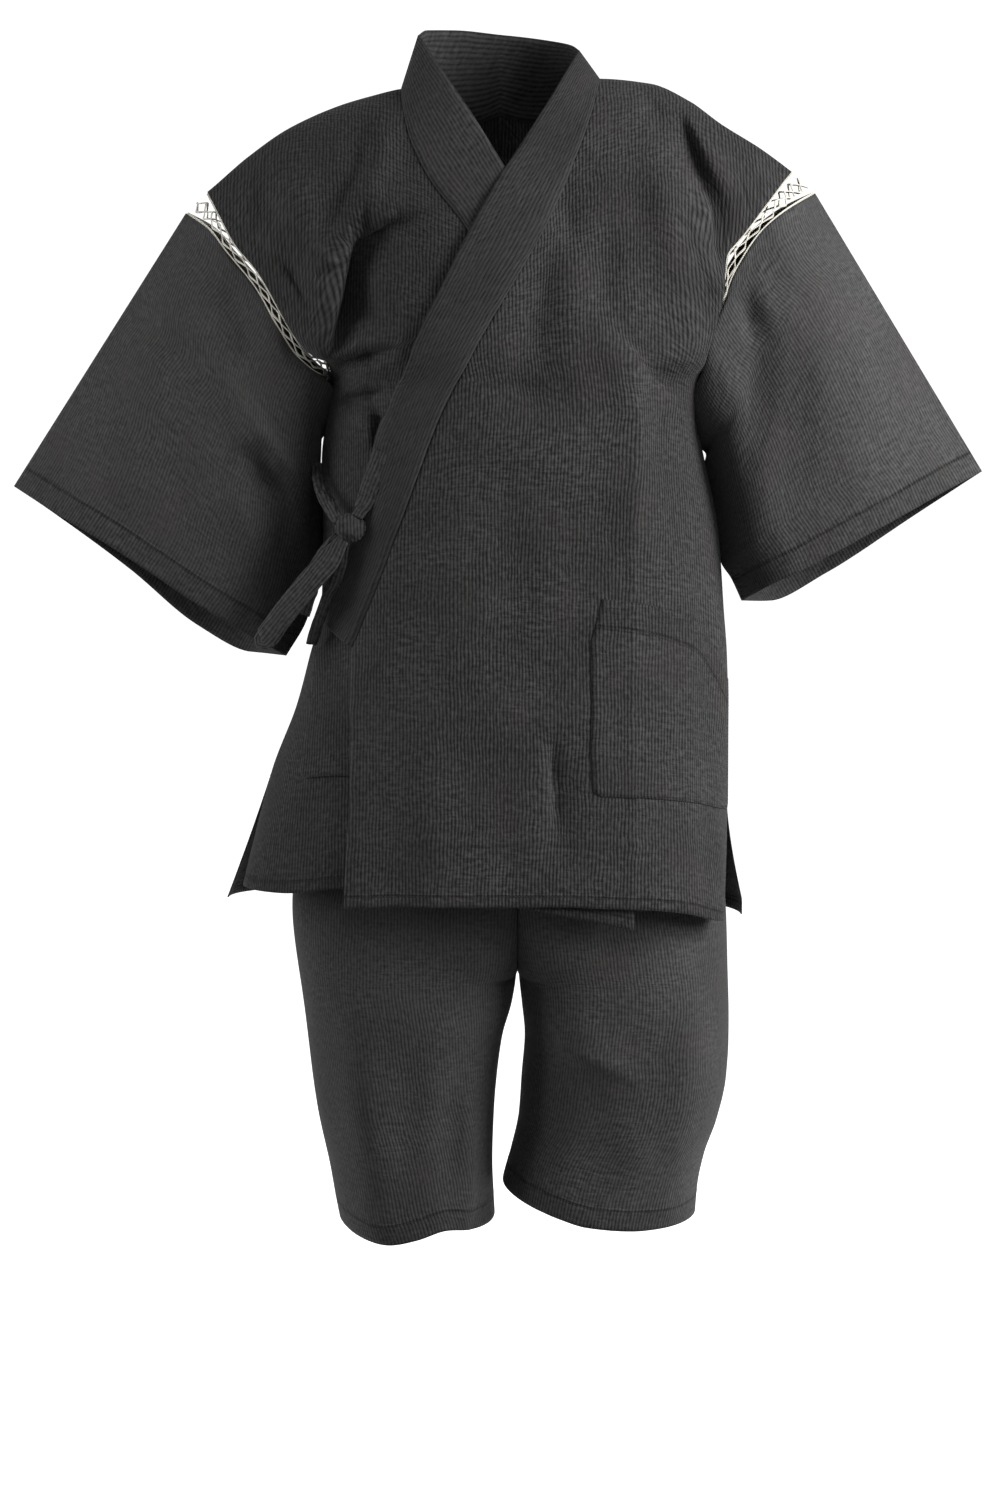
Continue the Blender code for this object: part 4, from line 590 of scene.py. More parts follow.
# Heights over which the rows of a body length, and of a leg, take up their hem's curve.
HEM_BEND = {FRONT: (-0.30, -0.41), BACK: (-0.45, -0.60)}
LEG_BEND = (-0.85, -0.93)
LEG_CALM = (-0.64, -0.72)       # heights over which the legs' creases begin
HEAD_DRIFT = {LEFT: 0.062, RIGHT: 0.045}      # sets the head's points square to the lace
UNDERARM_FALL = {LEFT: 0.006, RIGHT: 0.0125}  # how far the slack hangs to the body
HEAD_LIP = {LEFT: 0.010, RIGHT: 0.0}          # how far the sleeve hides its lower seam
# Each pocket's first and last column on its panel, at its foot and its mouth.
Patch = namedtuple("Patch", "first_foot first_mouth last_foot last_mouth")
POCKETS = {LEFT: Patch(6.90, 6.55, 14.0, 14.0), RIGHT: Patch(4.1, 4.6, 11.1, 12.9)}
PATCH_MIDDLE = 10           # the column along which a pocket's height is measured
POCKET_GAP = {LEFT: -0.0002, RIGHT: 0.0010}
FRONT_LAYER = {LEFT: OUTER, RIGHT: UNDER}
# Each piece's colour is scaled up or down as painted highlight or painted shading: the one cloth is
# made lighter or darker by how brightly the lamps fall on each panel, sleeve and leg.
PANEL_PAINTED_SHADING = {LEFT: 0.84, RIGHT: 0.66}
SLEEVE_PAINTED_SHADING = {LEFT: 1.32, RIGHT: 1.12}
LEG_PAINTED_SHADING = {LEFT: 1.08, RIGHT: 0.82}


# ---- body surface
def crease_height(x: Numbers, z: Numbers, lines: CreaseLines) -> Array:
    """Sum the creases' heights.

    Args:
        x: Places across.
        z: Heights.
        lines: Each crease's points, in order.

    Returns:
        How far the creases lift the cloth at each place.
    """
    height = np.zeros(np.broadcast(x, z).shape)
    for rows in lines:
        strongest = np.zeros_like(height)
        for a, b in zip(rows[:-1], rows[1:]):
            run = np.array([b.x - a.x, b.z - a.z])
            t = np.clip(((x - a.x) * run[0] + (z - a.z) * run[1]) / (run @ run), 0, 1)
            distance = np.hypot(x - a.x - t * run[0], z - a.z - t * run[1])
            beside = np.sign(run[0] * (z - a.z) - run[1] * (x - a.x))
            lean = a.lean + t * (b.lean - a.lean)
            width = (a.width + t * (b.width - a.width)) * (1 + beside * lean)
            value = (a.height + t * (b.height - a.height)) * np.exp(-(distance / width) ** 2)
            strongest = np.where(np.abs(value) > np.abs(strongest), value, strongest)
        height += strongest
    return height


def drape(x: Numbers, z: Numbers, seed: int) -> Array:
    """The slight unevenness of hanging cloth, longer down than across."""
    return sum(height * unevenness(x, z, size, seed + k) for k, (height, size) in enumerate(DRAPE))


def rise(x: Numbers, z: Numbers) -> Numbers:
    """Fraction of the way from the armpit to the ridge, 0 at or below the armpit."""
    top = RIDGE("z", x)
    return np.clip((z - ARMPIT_Z) / (top - ARMPIT_Z), 0, 1)


def swell_shape(share: Numbers) -> Numbers:
    """How the swell is shared out across the half chest."""
    return ease(0.70, 0.93, share) * (1 - ease(0.95, 1.0, share))


def side_edges(side: Side, face: Face, z: Numbers, up: Numbers) -> tuple[Numbers, Numbers]:
    """Find the body's side at each height.

    Args:
        side: Left or right.
        face: Front or back.
        z: Heights.
        up: Their fractions of the rise.

    Returns:
        The side's x, and how far its edge stands out from the middle plane.
    """
    vent_top = VENT_TOP_Z[side]
    vent = VENTS[side, face]
    drop = np.clip((vent_top - z) / (vent_top - FRONT_HEM_Z), 0, 1.3)
    low_x = RINGS(side.value, z) + side.sign * vent.swing * drop ** 1.4
    low_depth = vent.part * drop ** 1.2
    high_x, high_depth = ARMHOLE[side]("x", up), ARMHOLE[side]("depth", up)
    return np.where(up > 0, high_x, low_x), np.where(up > 0, high_depth, low_depth)


def stand_out(share: Numbers, face: Face, z: Numbers, up: Numbers) -> tuple[Numbers, Numbers]:
    """Work out the depth of the body's middle and the share of it left beside it.

    Args:
        share: Parts of the half width.
        face: Front or back.
        z: Heights.
        up: Their fractions of the rise.

    Returns:
        The middle's depth, and its share at each place.
    """
    low = RINGS(face.value, z)
    power = ARCH_POWER[face]
    high = RINGS(face.value, ARMPIT_Z) * (1 - up ** power) ** (1 / power)
    share = np.clip(np.abs(share), 0, 1)
    ring = (1 - share ** RING_POWER) ** (1 / RING_POWER)
    soft = 1 - share ** YOKE_POWER
    blend = ease(0, YOKE_UP, up)
    return np.where(up > 0, high, low), ring * (1 - blend) + soft * blend


def body_depth(x: Numbers, z: Numbers, up: Numbers, face: Face) -> tuple[Numbers, Numbers]:
    """Find how far the body's cloth stands out from the middle plane.

    Args:
        x: Places across.
        z: Heights.
        up: Their fractions of the rise.
        face: Front or back.

    Returns:
        The depth, and each place's share of the half width.
    """
    edge_left, out_left = side_edges(LEFT, face, z, up)
    edge_right, out_right = side_edges(RIGHT, face, z, up)
    is_left = x >= CENTRE_X
    edge = np.where(is_left, edge_left, edge_right)
    out = np.where(is_left, out_left, out_right)
    share = np.clip((x - CENTRE_X) / (edge - CENTRE_X), 0, 1)
    middle, profile = stand_out(share, face, z, up)
    return out + (middle - out) * profile, share


def folds(x: Numbers, z: Numbers, up: Numbers, share: Numbers, face: Face) -> Array:
    """How far the creases and the drape move the body's cloth out."""
    mask = (1 - share ** EDGE_CALM) * ease(0.0, RIDGE_CALM, 1 - up)
    return (crease_height(x, z, CREASES[face]) + drape(x, z, DRAPE_SEED[face])) * mask


def on_front(x: Numbers, z: Numbers, lift: Numbers) -> Array:
    """Lay points on the body's front.

    Args:
        x: Places across.
        z: Heights.
        lift: How far each point stands off along the normal.

    Returns:
        The points.
    """
    x, z = np.asarray(x, float), np.asarray(z, float)
    tiny = 0.002
    depth = []
    for dx, dz in ((0, 0), (tiny, 0), (-tiny, 0), (0, tiny), (0, -tiny)):
        up = rise(x + dx, z + dz)
        smooth, share = body_depth(x + dx, z + dz, up, FRONT)
        depth.append(smooth + folds(x + dx, z + dz, up, share, FRONT))
    slope_x = (depth[1] - depth[2]) / (2 * tiny)
    slope_z = (depth[3] - depth[4]) / (2 * tiny)
    normal = unit(np.stack([-slope_x, -np.ones_like(x), -slope_z], axis=-1))
    return np.stack([x, -depth[0], z], axis=-1) + normal * np.asarray(lift)[..., None]


def full_row(side: Side, face: Face, x: Array, z: Array,
             up: Array) -> Array:
    """Add the depth to a row's points.

    Args:
        side: Left or right.
        face: Front or back.
        x: The points' places across.
        z: Their heights.
        up: Their fractions of the rise.

    Returns:
        The points, each with its x before the chest swells, its share of the half
        width and its fraction of the rise.
    """
    depth, share = body_depth(x, z, up, face)
    swell = np.zeros(FINE)
    if (side, face) == (LEFT, FRONT):
        swell = CHEST_SWELL("out", up) * swell_shape(share) * ease(SWELL_END_Z, ARMPIT_Z, z)
    return np.stack([x + swell, depth * face.sign, z, x, share, up], axis=-1)


def low_row(side: Side, face: Face, start: float, level: float, hem: Table,
            hem_weight: float) -> Array:
    """Closely spaced points of a row below the armpit, from x = start to the side.

    Args:
        side: Left or right.
        face: Front or back.
        start: Where the row starts.
        level: Its height at the body's middle.
        hem: The hem's curve.
        hem_weight: How far the row follows that curve, from 0 to 1.

    Returns:
        The row, as full_row gives it.
    """
    turn = np.linspace(0, 1, FINE)
    flat = np.zeros(FINE)
    z = np.full(FINE, level)
    bend = POCKET_SLANT("weight", level) if face is FRONT else 0.0
    for _ in range(3):
        edge, _out = side_edges(side, face, z, flat)
        first = math.asin(np.clip((start - CENTRE_X) / (edge[0] - CENTRE_X), -1, 1))
        angle = first + (math.pi / 2 - first) * turn
        x = CENTRE_X + (edge - CENTRE_X) * np.sin(angle)
        drop = SLANT_SHAPE("drop", np.abs(np.sin(angle)))
        z = level + hem_weight * (hem("z", x) - hem("z", CENTRE_X)) - bend * drop
    return full_row(side, face, x, z, flat)


def high_row(side: Side, face: Face, start: float, inner_up: float, outer_up: float) -> Array:
    """Closely spaced points of a row above the armpit, from x = start to the armhole.

    Args:
        side: Left or right.
        face: Front or back.
        start: Where the row starts.
        inner_up: The row's fraction of the rise at its start.
        outer_up: The same at the armhole.

    Returns:
        The row, as full_row gives it.
    """
    turn = np.linspace(0, 1, FINE)
    up = inner_up + (outer_up - inner_up) * turn
    edge, _out = side_edges(side, face, np.full(FINE, ARMPIT_Z), up)
    x = start + (edge - start) * turn
    z = ARMPIT_Z + up * (RIDGE("z", x) - ARMPIT_Z)
    return full_row(side, face, x, z, up)


def soften(grid: Array, row: int, reach: int, fade: Numbers = 1.0) -> Array:
    """Blur a grid down its columns near one row.

    Args:
        grid: Rows of points.
        row: The middle of the blur.
        reach: How many rows it mixes to each side.
        fade: Its strength in each column.

    Returns:
        The blurred grid.
    """
    weights = np.exp(-(np.arange(-reach, reach + 1) / (0.45 * reach)) ** 2)
    weights /= weights.sum()
    result = grid.copy()
    for j in range(row - 2 * reach, row + 2 * reach + 1):
        mean = np.tensordot(weights, grid[j - reach:j + reach + 1], axes=1)
        share = float(ease(0, 1, 1 - abs(j - row) / (2 * reach)))
        result[j] += (mean - grid[j]) * share * np.reshape(fade, (-1, 1))
    return result


def sheet_normals(grid: Array) -> Array:
    """Unit normals of a grid of points, facing across x down."""
    return unit(np.cross(np.gradient(grid, axis=1), np.gradient(grid, axis=0)))


def overlap_lift(x: Numbers, z: Numbers) -> Numbers:
    """How far the outer front rides over the under front and its band."""
    edge = COLLAR_EDGE[UNDER]
    heights = np.linspace(OVERLAP_TOP_Z, COLLAR_END_Z, EDGE_STEPS)
    far = np.interp(-z, -edge("z", heights), edge("x", heights))
    return OVER_LIFT * (1 - ease(*OVERLAP_FADE, x - far))


# ---- sheets of cloth
@dataclass
class Sheet:
    """A grid of cloth points with their places on the flat cut, in metres.

    Attributes:
        grid: Points, rows down the cloth and columns across it.
        out: 1 where across x down faces outward, else -1.
        across: How far each point lies across the ribs.
        down: How far it lies along them.
        hem: Distance of each point from the nearest hem.
        closed: Whether the last column joins the first.
    """

    grid: Array
    out: int
    across: Array
    down: Array
    hem: Array
    closed: bool = False

    @classmethod
    def measured(cls, grid: Array, out: int, hems: Iterable[int] = (0, -1),
                 closed: bool = False, grain: float | None = None) -> "Sheet":
        """Measure a grid along its rows and columns.

        Args:
            grid: The points.
            out: 1 where across x down faces outward, else -1.
            hems: Which of the first row (0) and the last row (-1) are hems.
            closed: Whether the last column joins the first.
            grain: How far from the middle plane the ribs hang quite straight;
                None measures from the first column.

        Returns:
            The sheet.
        """
        ring = np.concatenate([grid, grid[:, :1]], axis=1) if closed else grid
        steps = np.linalg.norm(np.diff(ring, axis=1), axis=2)
        across = np.concatenate([np.zeros((len(grid), 1)), np.cumsum(steps, axis=1)], axis=1)
        if grain is not None:
            run, deep, fall = np.moveaxis(np.abs(np.diff(ring, axis=1)), 2, 0)
            level = run / np.hypot(run, fall)
            across[:, 1:] = np.cumsum(np.hypot(run, deep * level), axis=1)
            reach = np.maximum.accumulate(ring[:, :, 0] * out, axis=1)
            across = np.array([row - np.interp(grain, far, row)
                               for row, far in zip(across, reach)])
        falls = np.linalg.norm(np.diff(ring, axis=0), axis=2)
        each = np.concatenate([np.zeros((1, ring.shape[1])), np.cumsum(falls, axis=0)])
        down = each if grain is not None else each.mean(axis=1, keepdims=True)
        hem = np.full(each.shape, FAR_FROM_HEM)
        if 0 in hems:
            hem = np.minimum(hem, each)
        if -1 in hems:
            hem = np.minimum(hem, each[-1:] - each)
        return cls(grid, out, across, np.broadcast_to(down, each.shape), hem, closed)

    def normals(self) -> Array:
        """Unit normals that face outward."""
        if not self.closed:
            return sheet_normals(self.grid) * self.out
        ring = np.concatenate([self.grid[:, -2:], self.grid, self.grid[:, :2]], axis=1)
        return sheet_normals(ring)[:, 2:-2] * self.out

    def line_from_end(self, distance: float, last: bool) -> Line:
        """Follow a line at an even distance from the first or last row.

        Args:
            distance: How far the line is from that row.
            last: Whether it is measured from the last row.

        Returns:
            Points of the line on the sheet, and the outward normals there.
        """
        grid, normals = self.grid, self.normals()
        if last:
            grid, normals = grid[::-1], normals[::-1]
        points, facing = [], []
        for k in range(grid.shape[1]):
            column = grid[:NEAR_ROWS, k]
            points.append(along(column, distance))
            facing.append(along_with(normals[:NEAR_ROWS, k], lengths(column), distance))
        return np.array(points), unit(np.array(facing))

    def line_from_side(self, distance: float, last: bool, rows: slice = slice(None)) -> Line:
        """Follow a line at an even distance from the first or last column, in some rows."""
        turned = Sheet(np.swapaxes(self.grid, 0, 1), -self.out, self.across, self.down, self.hem)
        points, facing = turned.line_from_end(distance, last)
        return points[rows], facing[rows]


def build_mesh(name: str, points: Array, faces: list, finish: Finish,
               uv: Array | None = None, hem: Array | None = None) -> Piece:
    """Make an object from points and faces.

    Args:
        name: The piece's name.
        points: Its points.
        faces: Corner indices of each face.
        finish: Its material.
        uv: Place of each face corner on the flat cloth, in metres.
        hem: Distance of each face corner from the nearest hem, in metres, twice over.

    Returns:
        The object, linked to the scene.
    """
    mesh = bpy.data.meshes.new(name)
    mesh.from_pydata(np.asarray(points).tolist(), [], np.asarray(faces).tolist()
                     if isinstance(faces, Array) else faces)
    for layer, values in (("cloth", uv), ("hem", hem)):
        if values is not None:
            mesh.uv_layers.new(name=layer).data.foreach_set("uv", values.ravel().astype(np.float32))
    mesh.shade_smooth()
    mesh.materials.append(finish)
    piece = bpy.data.objects.new(name, mesh)
    bpy.context.scene.collection.objects.link(piece)
    LOG.info("%s: %d points", name, len(points))
    return piece


CORNERS = ((0, 0), (0, 1), (1, 1), (1, 0))  # of a face, by row and column


def grid_corners(rows: int, columns: int, wide: int, corners: tuple = CORNERS) -> Array:
    """Indices of the faces' corners in a grid whose rows close after the given columns."""
    j, i = np.meshgrid(np.arange(rows), np.arange(wide), indexing="ij")
    return np.stack([(j + b) * columns + (i + a) % columns for b, a in corners], axis=-1)


def build_cloth(name: str, sheet: Sheet, thickness: float,
                finish: Finish) -> Piece:
    """Make a thin wall that grows outward from a sheet.

    Args:
        name: The piece's name.
        sheet: Its inner face.
        thickness: The wall.
        finish: Its material.

    Returns:
        The object.
    """
    rows, columns = sheet.grid.shape[:2]
    wide = columns - 1 + sheet.closed
    corners = CORNERS if sheet.out > 0 else CORNERS[::-1]
    faces = grid_corners(rows - 1, columns, wide, corners)
    spots = grid_corners(rows - 1, wide + 1, wide, corners).reshape(-1)
    flat = np.stack([sheet.across, sheet.down], axis=-1).reshape(-1, 2)[spots]
    hem = np.repeat(sheet.hem.reshape(-1)[spots], 2)
    piece = build_mesh(name, sheet.grid.reshape(-1, 3), faces.reshape(-1, 4), finish, flat, hem)
    wall = piece.modifiers.new("wall", "SOLIDIFY")
    wall.thickness = thickness
    wall.offset = 1.0
    return piece


# ---- thread and cord
@dataclass(frozen=True)
class Stitches:
    """A row of machine stitches.

    Attributes:
        pitch: From one stitch to the next.
        length: One stitch's thread that shows.
        width: Its width.
        height: How far it stands off the cloth.
    """

    pitch: float = 0.0030
    length: float = 0.0023
    width: float = 0.00055
    height: float = 0.00035

    def along_line(self, points: Array,
                   normals: Array) -> tuple[Array, Array]:
        """Lay stitches along a line.

        Args:
            points: The line, on the cloth's outer face.
            normals: Outward normals there.

        Returns:
            Points and faces of the stitches.
        """
        total = lengths(points)
        count = int(total[-1] / self.pitch)
        if count < 1:
            return np.zeros((0, 3)), np.zeros((0, 4), int)
        start = (np.arange(count) + 0.5) * total[-1] / count
        a, b = along(points, start - self.length / 2), along(points, start + self.length / 2)
        facing = unit(along_with(normals, total, start))
        middle = (a + b) / 2
        beside = unit(np.cross(b - a, facing)) * self.width / 2
        top = middle + facing * self.height
        spots = np.stack([a, b, middle - beside, middle + beside, top], axis=1)
        shape = np.array([(0, 2, 4, 4), (2, 1, 4, 4), (1, 3, 4, 4), (3, 0, 4, 4), (0, 3, 1, 2)])
        faces = (np.arange(count) * 5)[:, None, None] + shape
        return spots.reshape(-1, 3), faces.reshape(-1, 4)

    def build(self, name: str, lines: Sequence[Line], lift: float,
              finish: Finish) -> Piece:
        """Make one piece from several rows of stitches.

        Args:
            name: The piece's name.
            lines: Each row's points and normals, on the sheet.
            lift: From the sheet to the cloth's outer face.
            finish: The thread's material.

        Returns:
            The object.
        """
        points, faces, count = [], [], 0
        for line, normals in lines:
            spots, shapes = self.along_line(line + normals * lift, normals)
            points.append(spots)
            faces.extend(list(dict.fromkeys(int(c) + count for c in shape)) for shape in shapes)
            count += len(spots)
        return build_mesh(name, np.concatenate(points), faces, finish)


def cord_tube(path: Array, normals: Array, half: tuple[float, float],
              sides: int, count: int) -> tuple[Array, list[list[int]], Array]:
    """Sweep a flattened round along a path.

    Args:
        path: The cord's middle.
        normals: The direction in which it is flat.
        half: Half its width and half its height.
        sides: Faces round it.
        count: Points made before this cord.

    Returns:
        Its points, its faces and each face corner's place along and round it.
    """
    tangent = unit(np.gradient(path, axis=0))
    beside = unit(np.cross(tangent, normals))
    above = np.cross(beside, tangent)
    angle = np.arange(sides) * 2 * math.pi / sides
    rings = (path[:, None] + beside[:, None] * (half[0] * np.cos(angle))[None, :, None]
             + above[:, None] * (half[1] * np.sin(angle))[None, :, None])
    faces = count + grid_corners(len(path) - 1, sides, sides)
    run = lengths(path)
    j, i = np.meshgrid(np.arange(len(path) - 1), np.arange(sides), indexing="ij")
    uv = np.stack([np.stack([(i + a) * 2 * half[0] / sides, run[j + b]], axis=-1)
                   for b, a in CORNERS], axis=2)
    first = count + np.arange(sides)
    last = count + (len(path) - 1) * sides + np.arange(sides)
    shapes = faces.reshape(-1, 4).tolist() + [first[::-1].tolist(), last.tolist()]
    ends = np.zeros((2 * sides, 2))
    return rings.reshape(-1, 3), shapes, np.concatenate([uv.reshape(-1, 2), ends])


def build_cords(name: str, paths: Sequence[Line], half: tuple[float, float],
                finish: Finish, sides: int = 8) -> Piece:
    """Make one piece from several cords.

    Args:
        name: The piece's name.
        paths: Each cord's middle and its flat direction.
        half: Half of a cord's width and height.
        finish: The thread's material.
        sides: Faces round a cord.

    Returns:
        The object.
    """
    points, faces, places, count = [], [], [], 0
    for path, normals in paths:
        rings, shapes, uv = cord_tube(path, normals, half, sides, count)
        points.append(rings)
        faces.extend(shapes)
        places.append(uv)
        count += len(rings)
    return build_mesh(name, np.concatenate(points), faces, finish, np.concatenate(places))


# ---- shader maths
def math_method(operation: str, reflected: bool = False) -> Callable[..., "Value"]:
    """Make an operator of Value.

    Args:
        operation: What its Math node works out.
        reflected: Whether the other term comes first.

    Returns:
        The method.
    """
    def method(self: "Value", other: "Value | float") -> "Value":
        """Add one Math node on this value and another term."""
        return self.math(operation, *((other, self) if reflected else (self, other)))

    return method


class Value:
    """A socket that adds Math nodes when it is used in an expression."""

    def __init__(self, graph: "Graph", socket: Socket) -> None:
        """Keep the socket and the graph that it belongs to."""
        self.graph, self.socket = graph, socket

    def math(self, operation: str, *terms: "Value | float") -> "Value":
        """Add one Math node on the given terms."""
        inputs = dict(enumerate(terms))
        return self.graph.node("ShaderNodeMath", {"operation": operation}, inputs).value("Value")

    __add__, __radd__ = math_method("ADD"), math_method("ADD", reflected=True)
    __sub__, __rsub__ = math_method("SUBTRACT"), math_method("SUBTRACT", reflected=True)
    __mul__, __rmul__ = math_method("MULTIPLY"), math_method("MULTIPLY", reflected=True)
    __truediv__, __pow__ = math_method("DIVIDE"), math_method("POWER")

    def sine(self) -> "Value":
        """The sine, in radians."""
        return self.math("SINE", self)

    def absolute(self) -> "Value":
        """The distance from 0."""
        return self.math("ABSOLUTE", self)

    def step_up(self, low: float, high: float) -> "Value":
        """Rise smoothly from 0 at low to 1 at high."""
        node = self.graph.node("ShaderNodeMapRange", {"interpolation_type": "SMOOTHSTEP"},
                               {"Value": self, "From Min": low, "From Max": high})
        return node.value("Result")

    def bell(self, centre: float, half: float) -> "Value":
        """1 at centre, falling to 0 at half to each side."""
        return 1 - (self - centre).absolute().step_up(0.0, half)


@dataclass
class Made:
    """A node with short ways to its outputs."""

    graph: "Graph"
    node: bpy.types.Node

    def value(self, name: str) -> Value:
        """A number output."""
        return Value(self.graph, self.node.outputs[name])

    def out(self, name: str) -> Socket:
        """Any output's socket."""
        return self.node.outputs[name]


class Graph:
    """The nodes of one material or world."""

    def __init__(self, tree: bpy.types.NodeTree) -> None:
        """Clear a node tree and keep it."""
        self.tree = tree
        tree.nodes.clear()

    def node(self, kind: str, settings: dict | None = None, inputs: dict | None = None) -> Made:
        """Add a node.

        Args:
            kind: The node's type.
            settings: Its properties, set before its sockets.
            inputs: A number, a Value, a vector or an output for each socket.

        Returns:
            The node.
        """
        made = self.tree.nodes.new(kind)
        for name, setting in (settings or {}).items():
            setattr(made, name, setting)
        for name, given in (inputs or {}).items():
            if isinstance(given, Value):
                self.tree.links.new(given.socket, made.inputs[name])
            elif isinstance(given, Socket):
                self.tree.links.new(given, made.inputs[name])
            else:
                made.inputs[name].default_value = given
        return Made(self, made)

    def place(self, layer: str) -> tuple[Value, Value]:
        """The two parts of a UV layer."""
        spot = self.node("ShaderNodeUVMap", {"uv_map": layer})
        parts = self.node("ShaderNodeSeparateXYZ", {}, {"Vector": spot.out("UV")})
        return parts.value("X"), parts.value("Y")

    def noise(self, u: Value, v: Value, detail: float = 1.0, seed: float = 0.0) -> Value:
        """Smooth noise from 0 to 1 with one bump to each unit of u and v."""
        spot = self.node("ShaderNodeCombineXYZ", {}, {"X": u, "Y": v, "Z": seed})
        made = self.node("ShaderNodeTexNoise", {"noise_dimensions": "3D"},
                         {"Vector": spot.out("Vector"), "Scale": 1.0, "Detail": detail})
        return made.value("Fac")

    def mix(self, share: Value, first: Tone | Socket,
            second: Tone | Socket, blend: str = "MIX") -> Socket:
        """Mix two colours.

        Args:
            share: How much of the second colour shows.
            first: A colour or a socket.
            second: The same.
            blend: The way of mixing.

        Returns:
            The mixed colour's socket.
        """
        made = self.tree.nodes.new("ShaderNodeMix")
        made.data_type = "RGBA"
        made.blend_type = blend
        self.tree.links.new(share.socket, made.inputs[0])
        for place, given in ((6, first), (7, second)):
            if isinstance(given, Socket):
                self.tree.links.new(given, made.inputs[place])
            else:
                made.inputs[place].default_value = (*given, 1.0)
        return made.outputs[2]

    def surface(self, colour: Tone | Socket, roughness: Value | float,
                height: Value | None, fixed: dict[str, float]) -> None:
        """Finish a material with one shader.

        Args:
            colour: Its base colour.
            roughness: Its roughness.
            height: Fine relief in metres.
            fixed: Other sockets, the same all over.
        """
        inputs = dict(fixed)
        inputs["Base Color"] = (*colour, 1.0) if isinstance(colour, tuple) else colour
        inputs["Roughness"] = roughness
        if height is not None:
            bump = self.node("ShaderNodeBump", {}, {"Strength": 1.0, "Distance": 1.0,
                                                    "Height": height})
            inputs["Normal"] = bump.out("Normal")
        shader = self.node("ShaderNodeBsdfPrincipled", {}, inputs)
        self.node("ShaderNodeOutputMaterial", {}, {"Surface": shader.out("BSDF")})


def new_graph(name: str) -> tuple[Finish, Graph]:
    """Make an empty material and its graph."""
    made = bpy.data.materials.new(name)
    made.use_nodes = True
    return made, Graph(made.node_tree)


# ---- finishes
# The smooth noises in the cloth: how wide and long a bump is, its detail, and its own seed.
Pattern = namedtuple("Pattern", "width length detail seed")
WANDER = Pattern(0.020, 0.030, 1.0, 0)  # how the ribs stray
PUCKERS = Pattern(0.016, 0.006, 2.0, 7)  # the crepe's puckers
WAVE_PLACES = Pattern(0.060, 0.080, 1.0, 8)  # where the waves are strong
SLUBS = Pattern(0.0011, 0.013, 1.0, 11)  # thick places in the yarn
WORN_PLACES = Pattern(0.045, 0.060, 2.0, 13)  # where the cloth is worn pale
BEAD = 0.0042  # length of one bead of a rib
STRAY = 0.0030  # how far a rib strays
GATHER = (0.006, 0.010)  # size of a wrinkle beside a hem's fold
PAINTED_GROOVE_SHADING, PAINTED_RIB_HIGHLIGHT, PALE = 0.22, 1.95, 2.6  # scales of the tone: painted shading in the grooves, painted highlight on the ribs, and the slubs' paler yarn
WORN_TINT = (1.34, 1.06, 1.0)  # scales of the tone's parts where it is worn


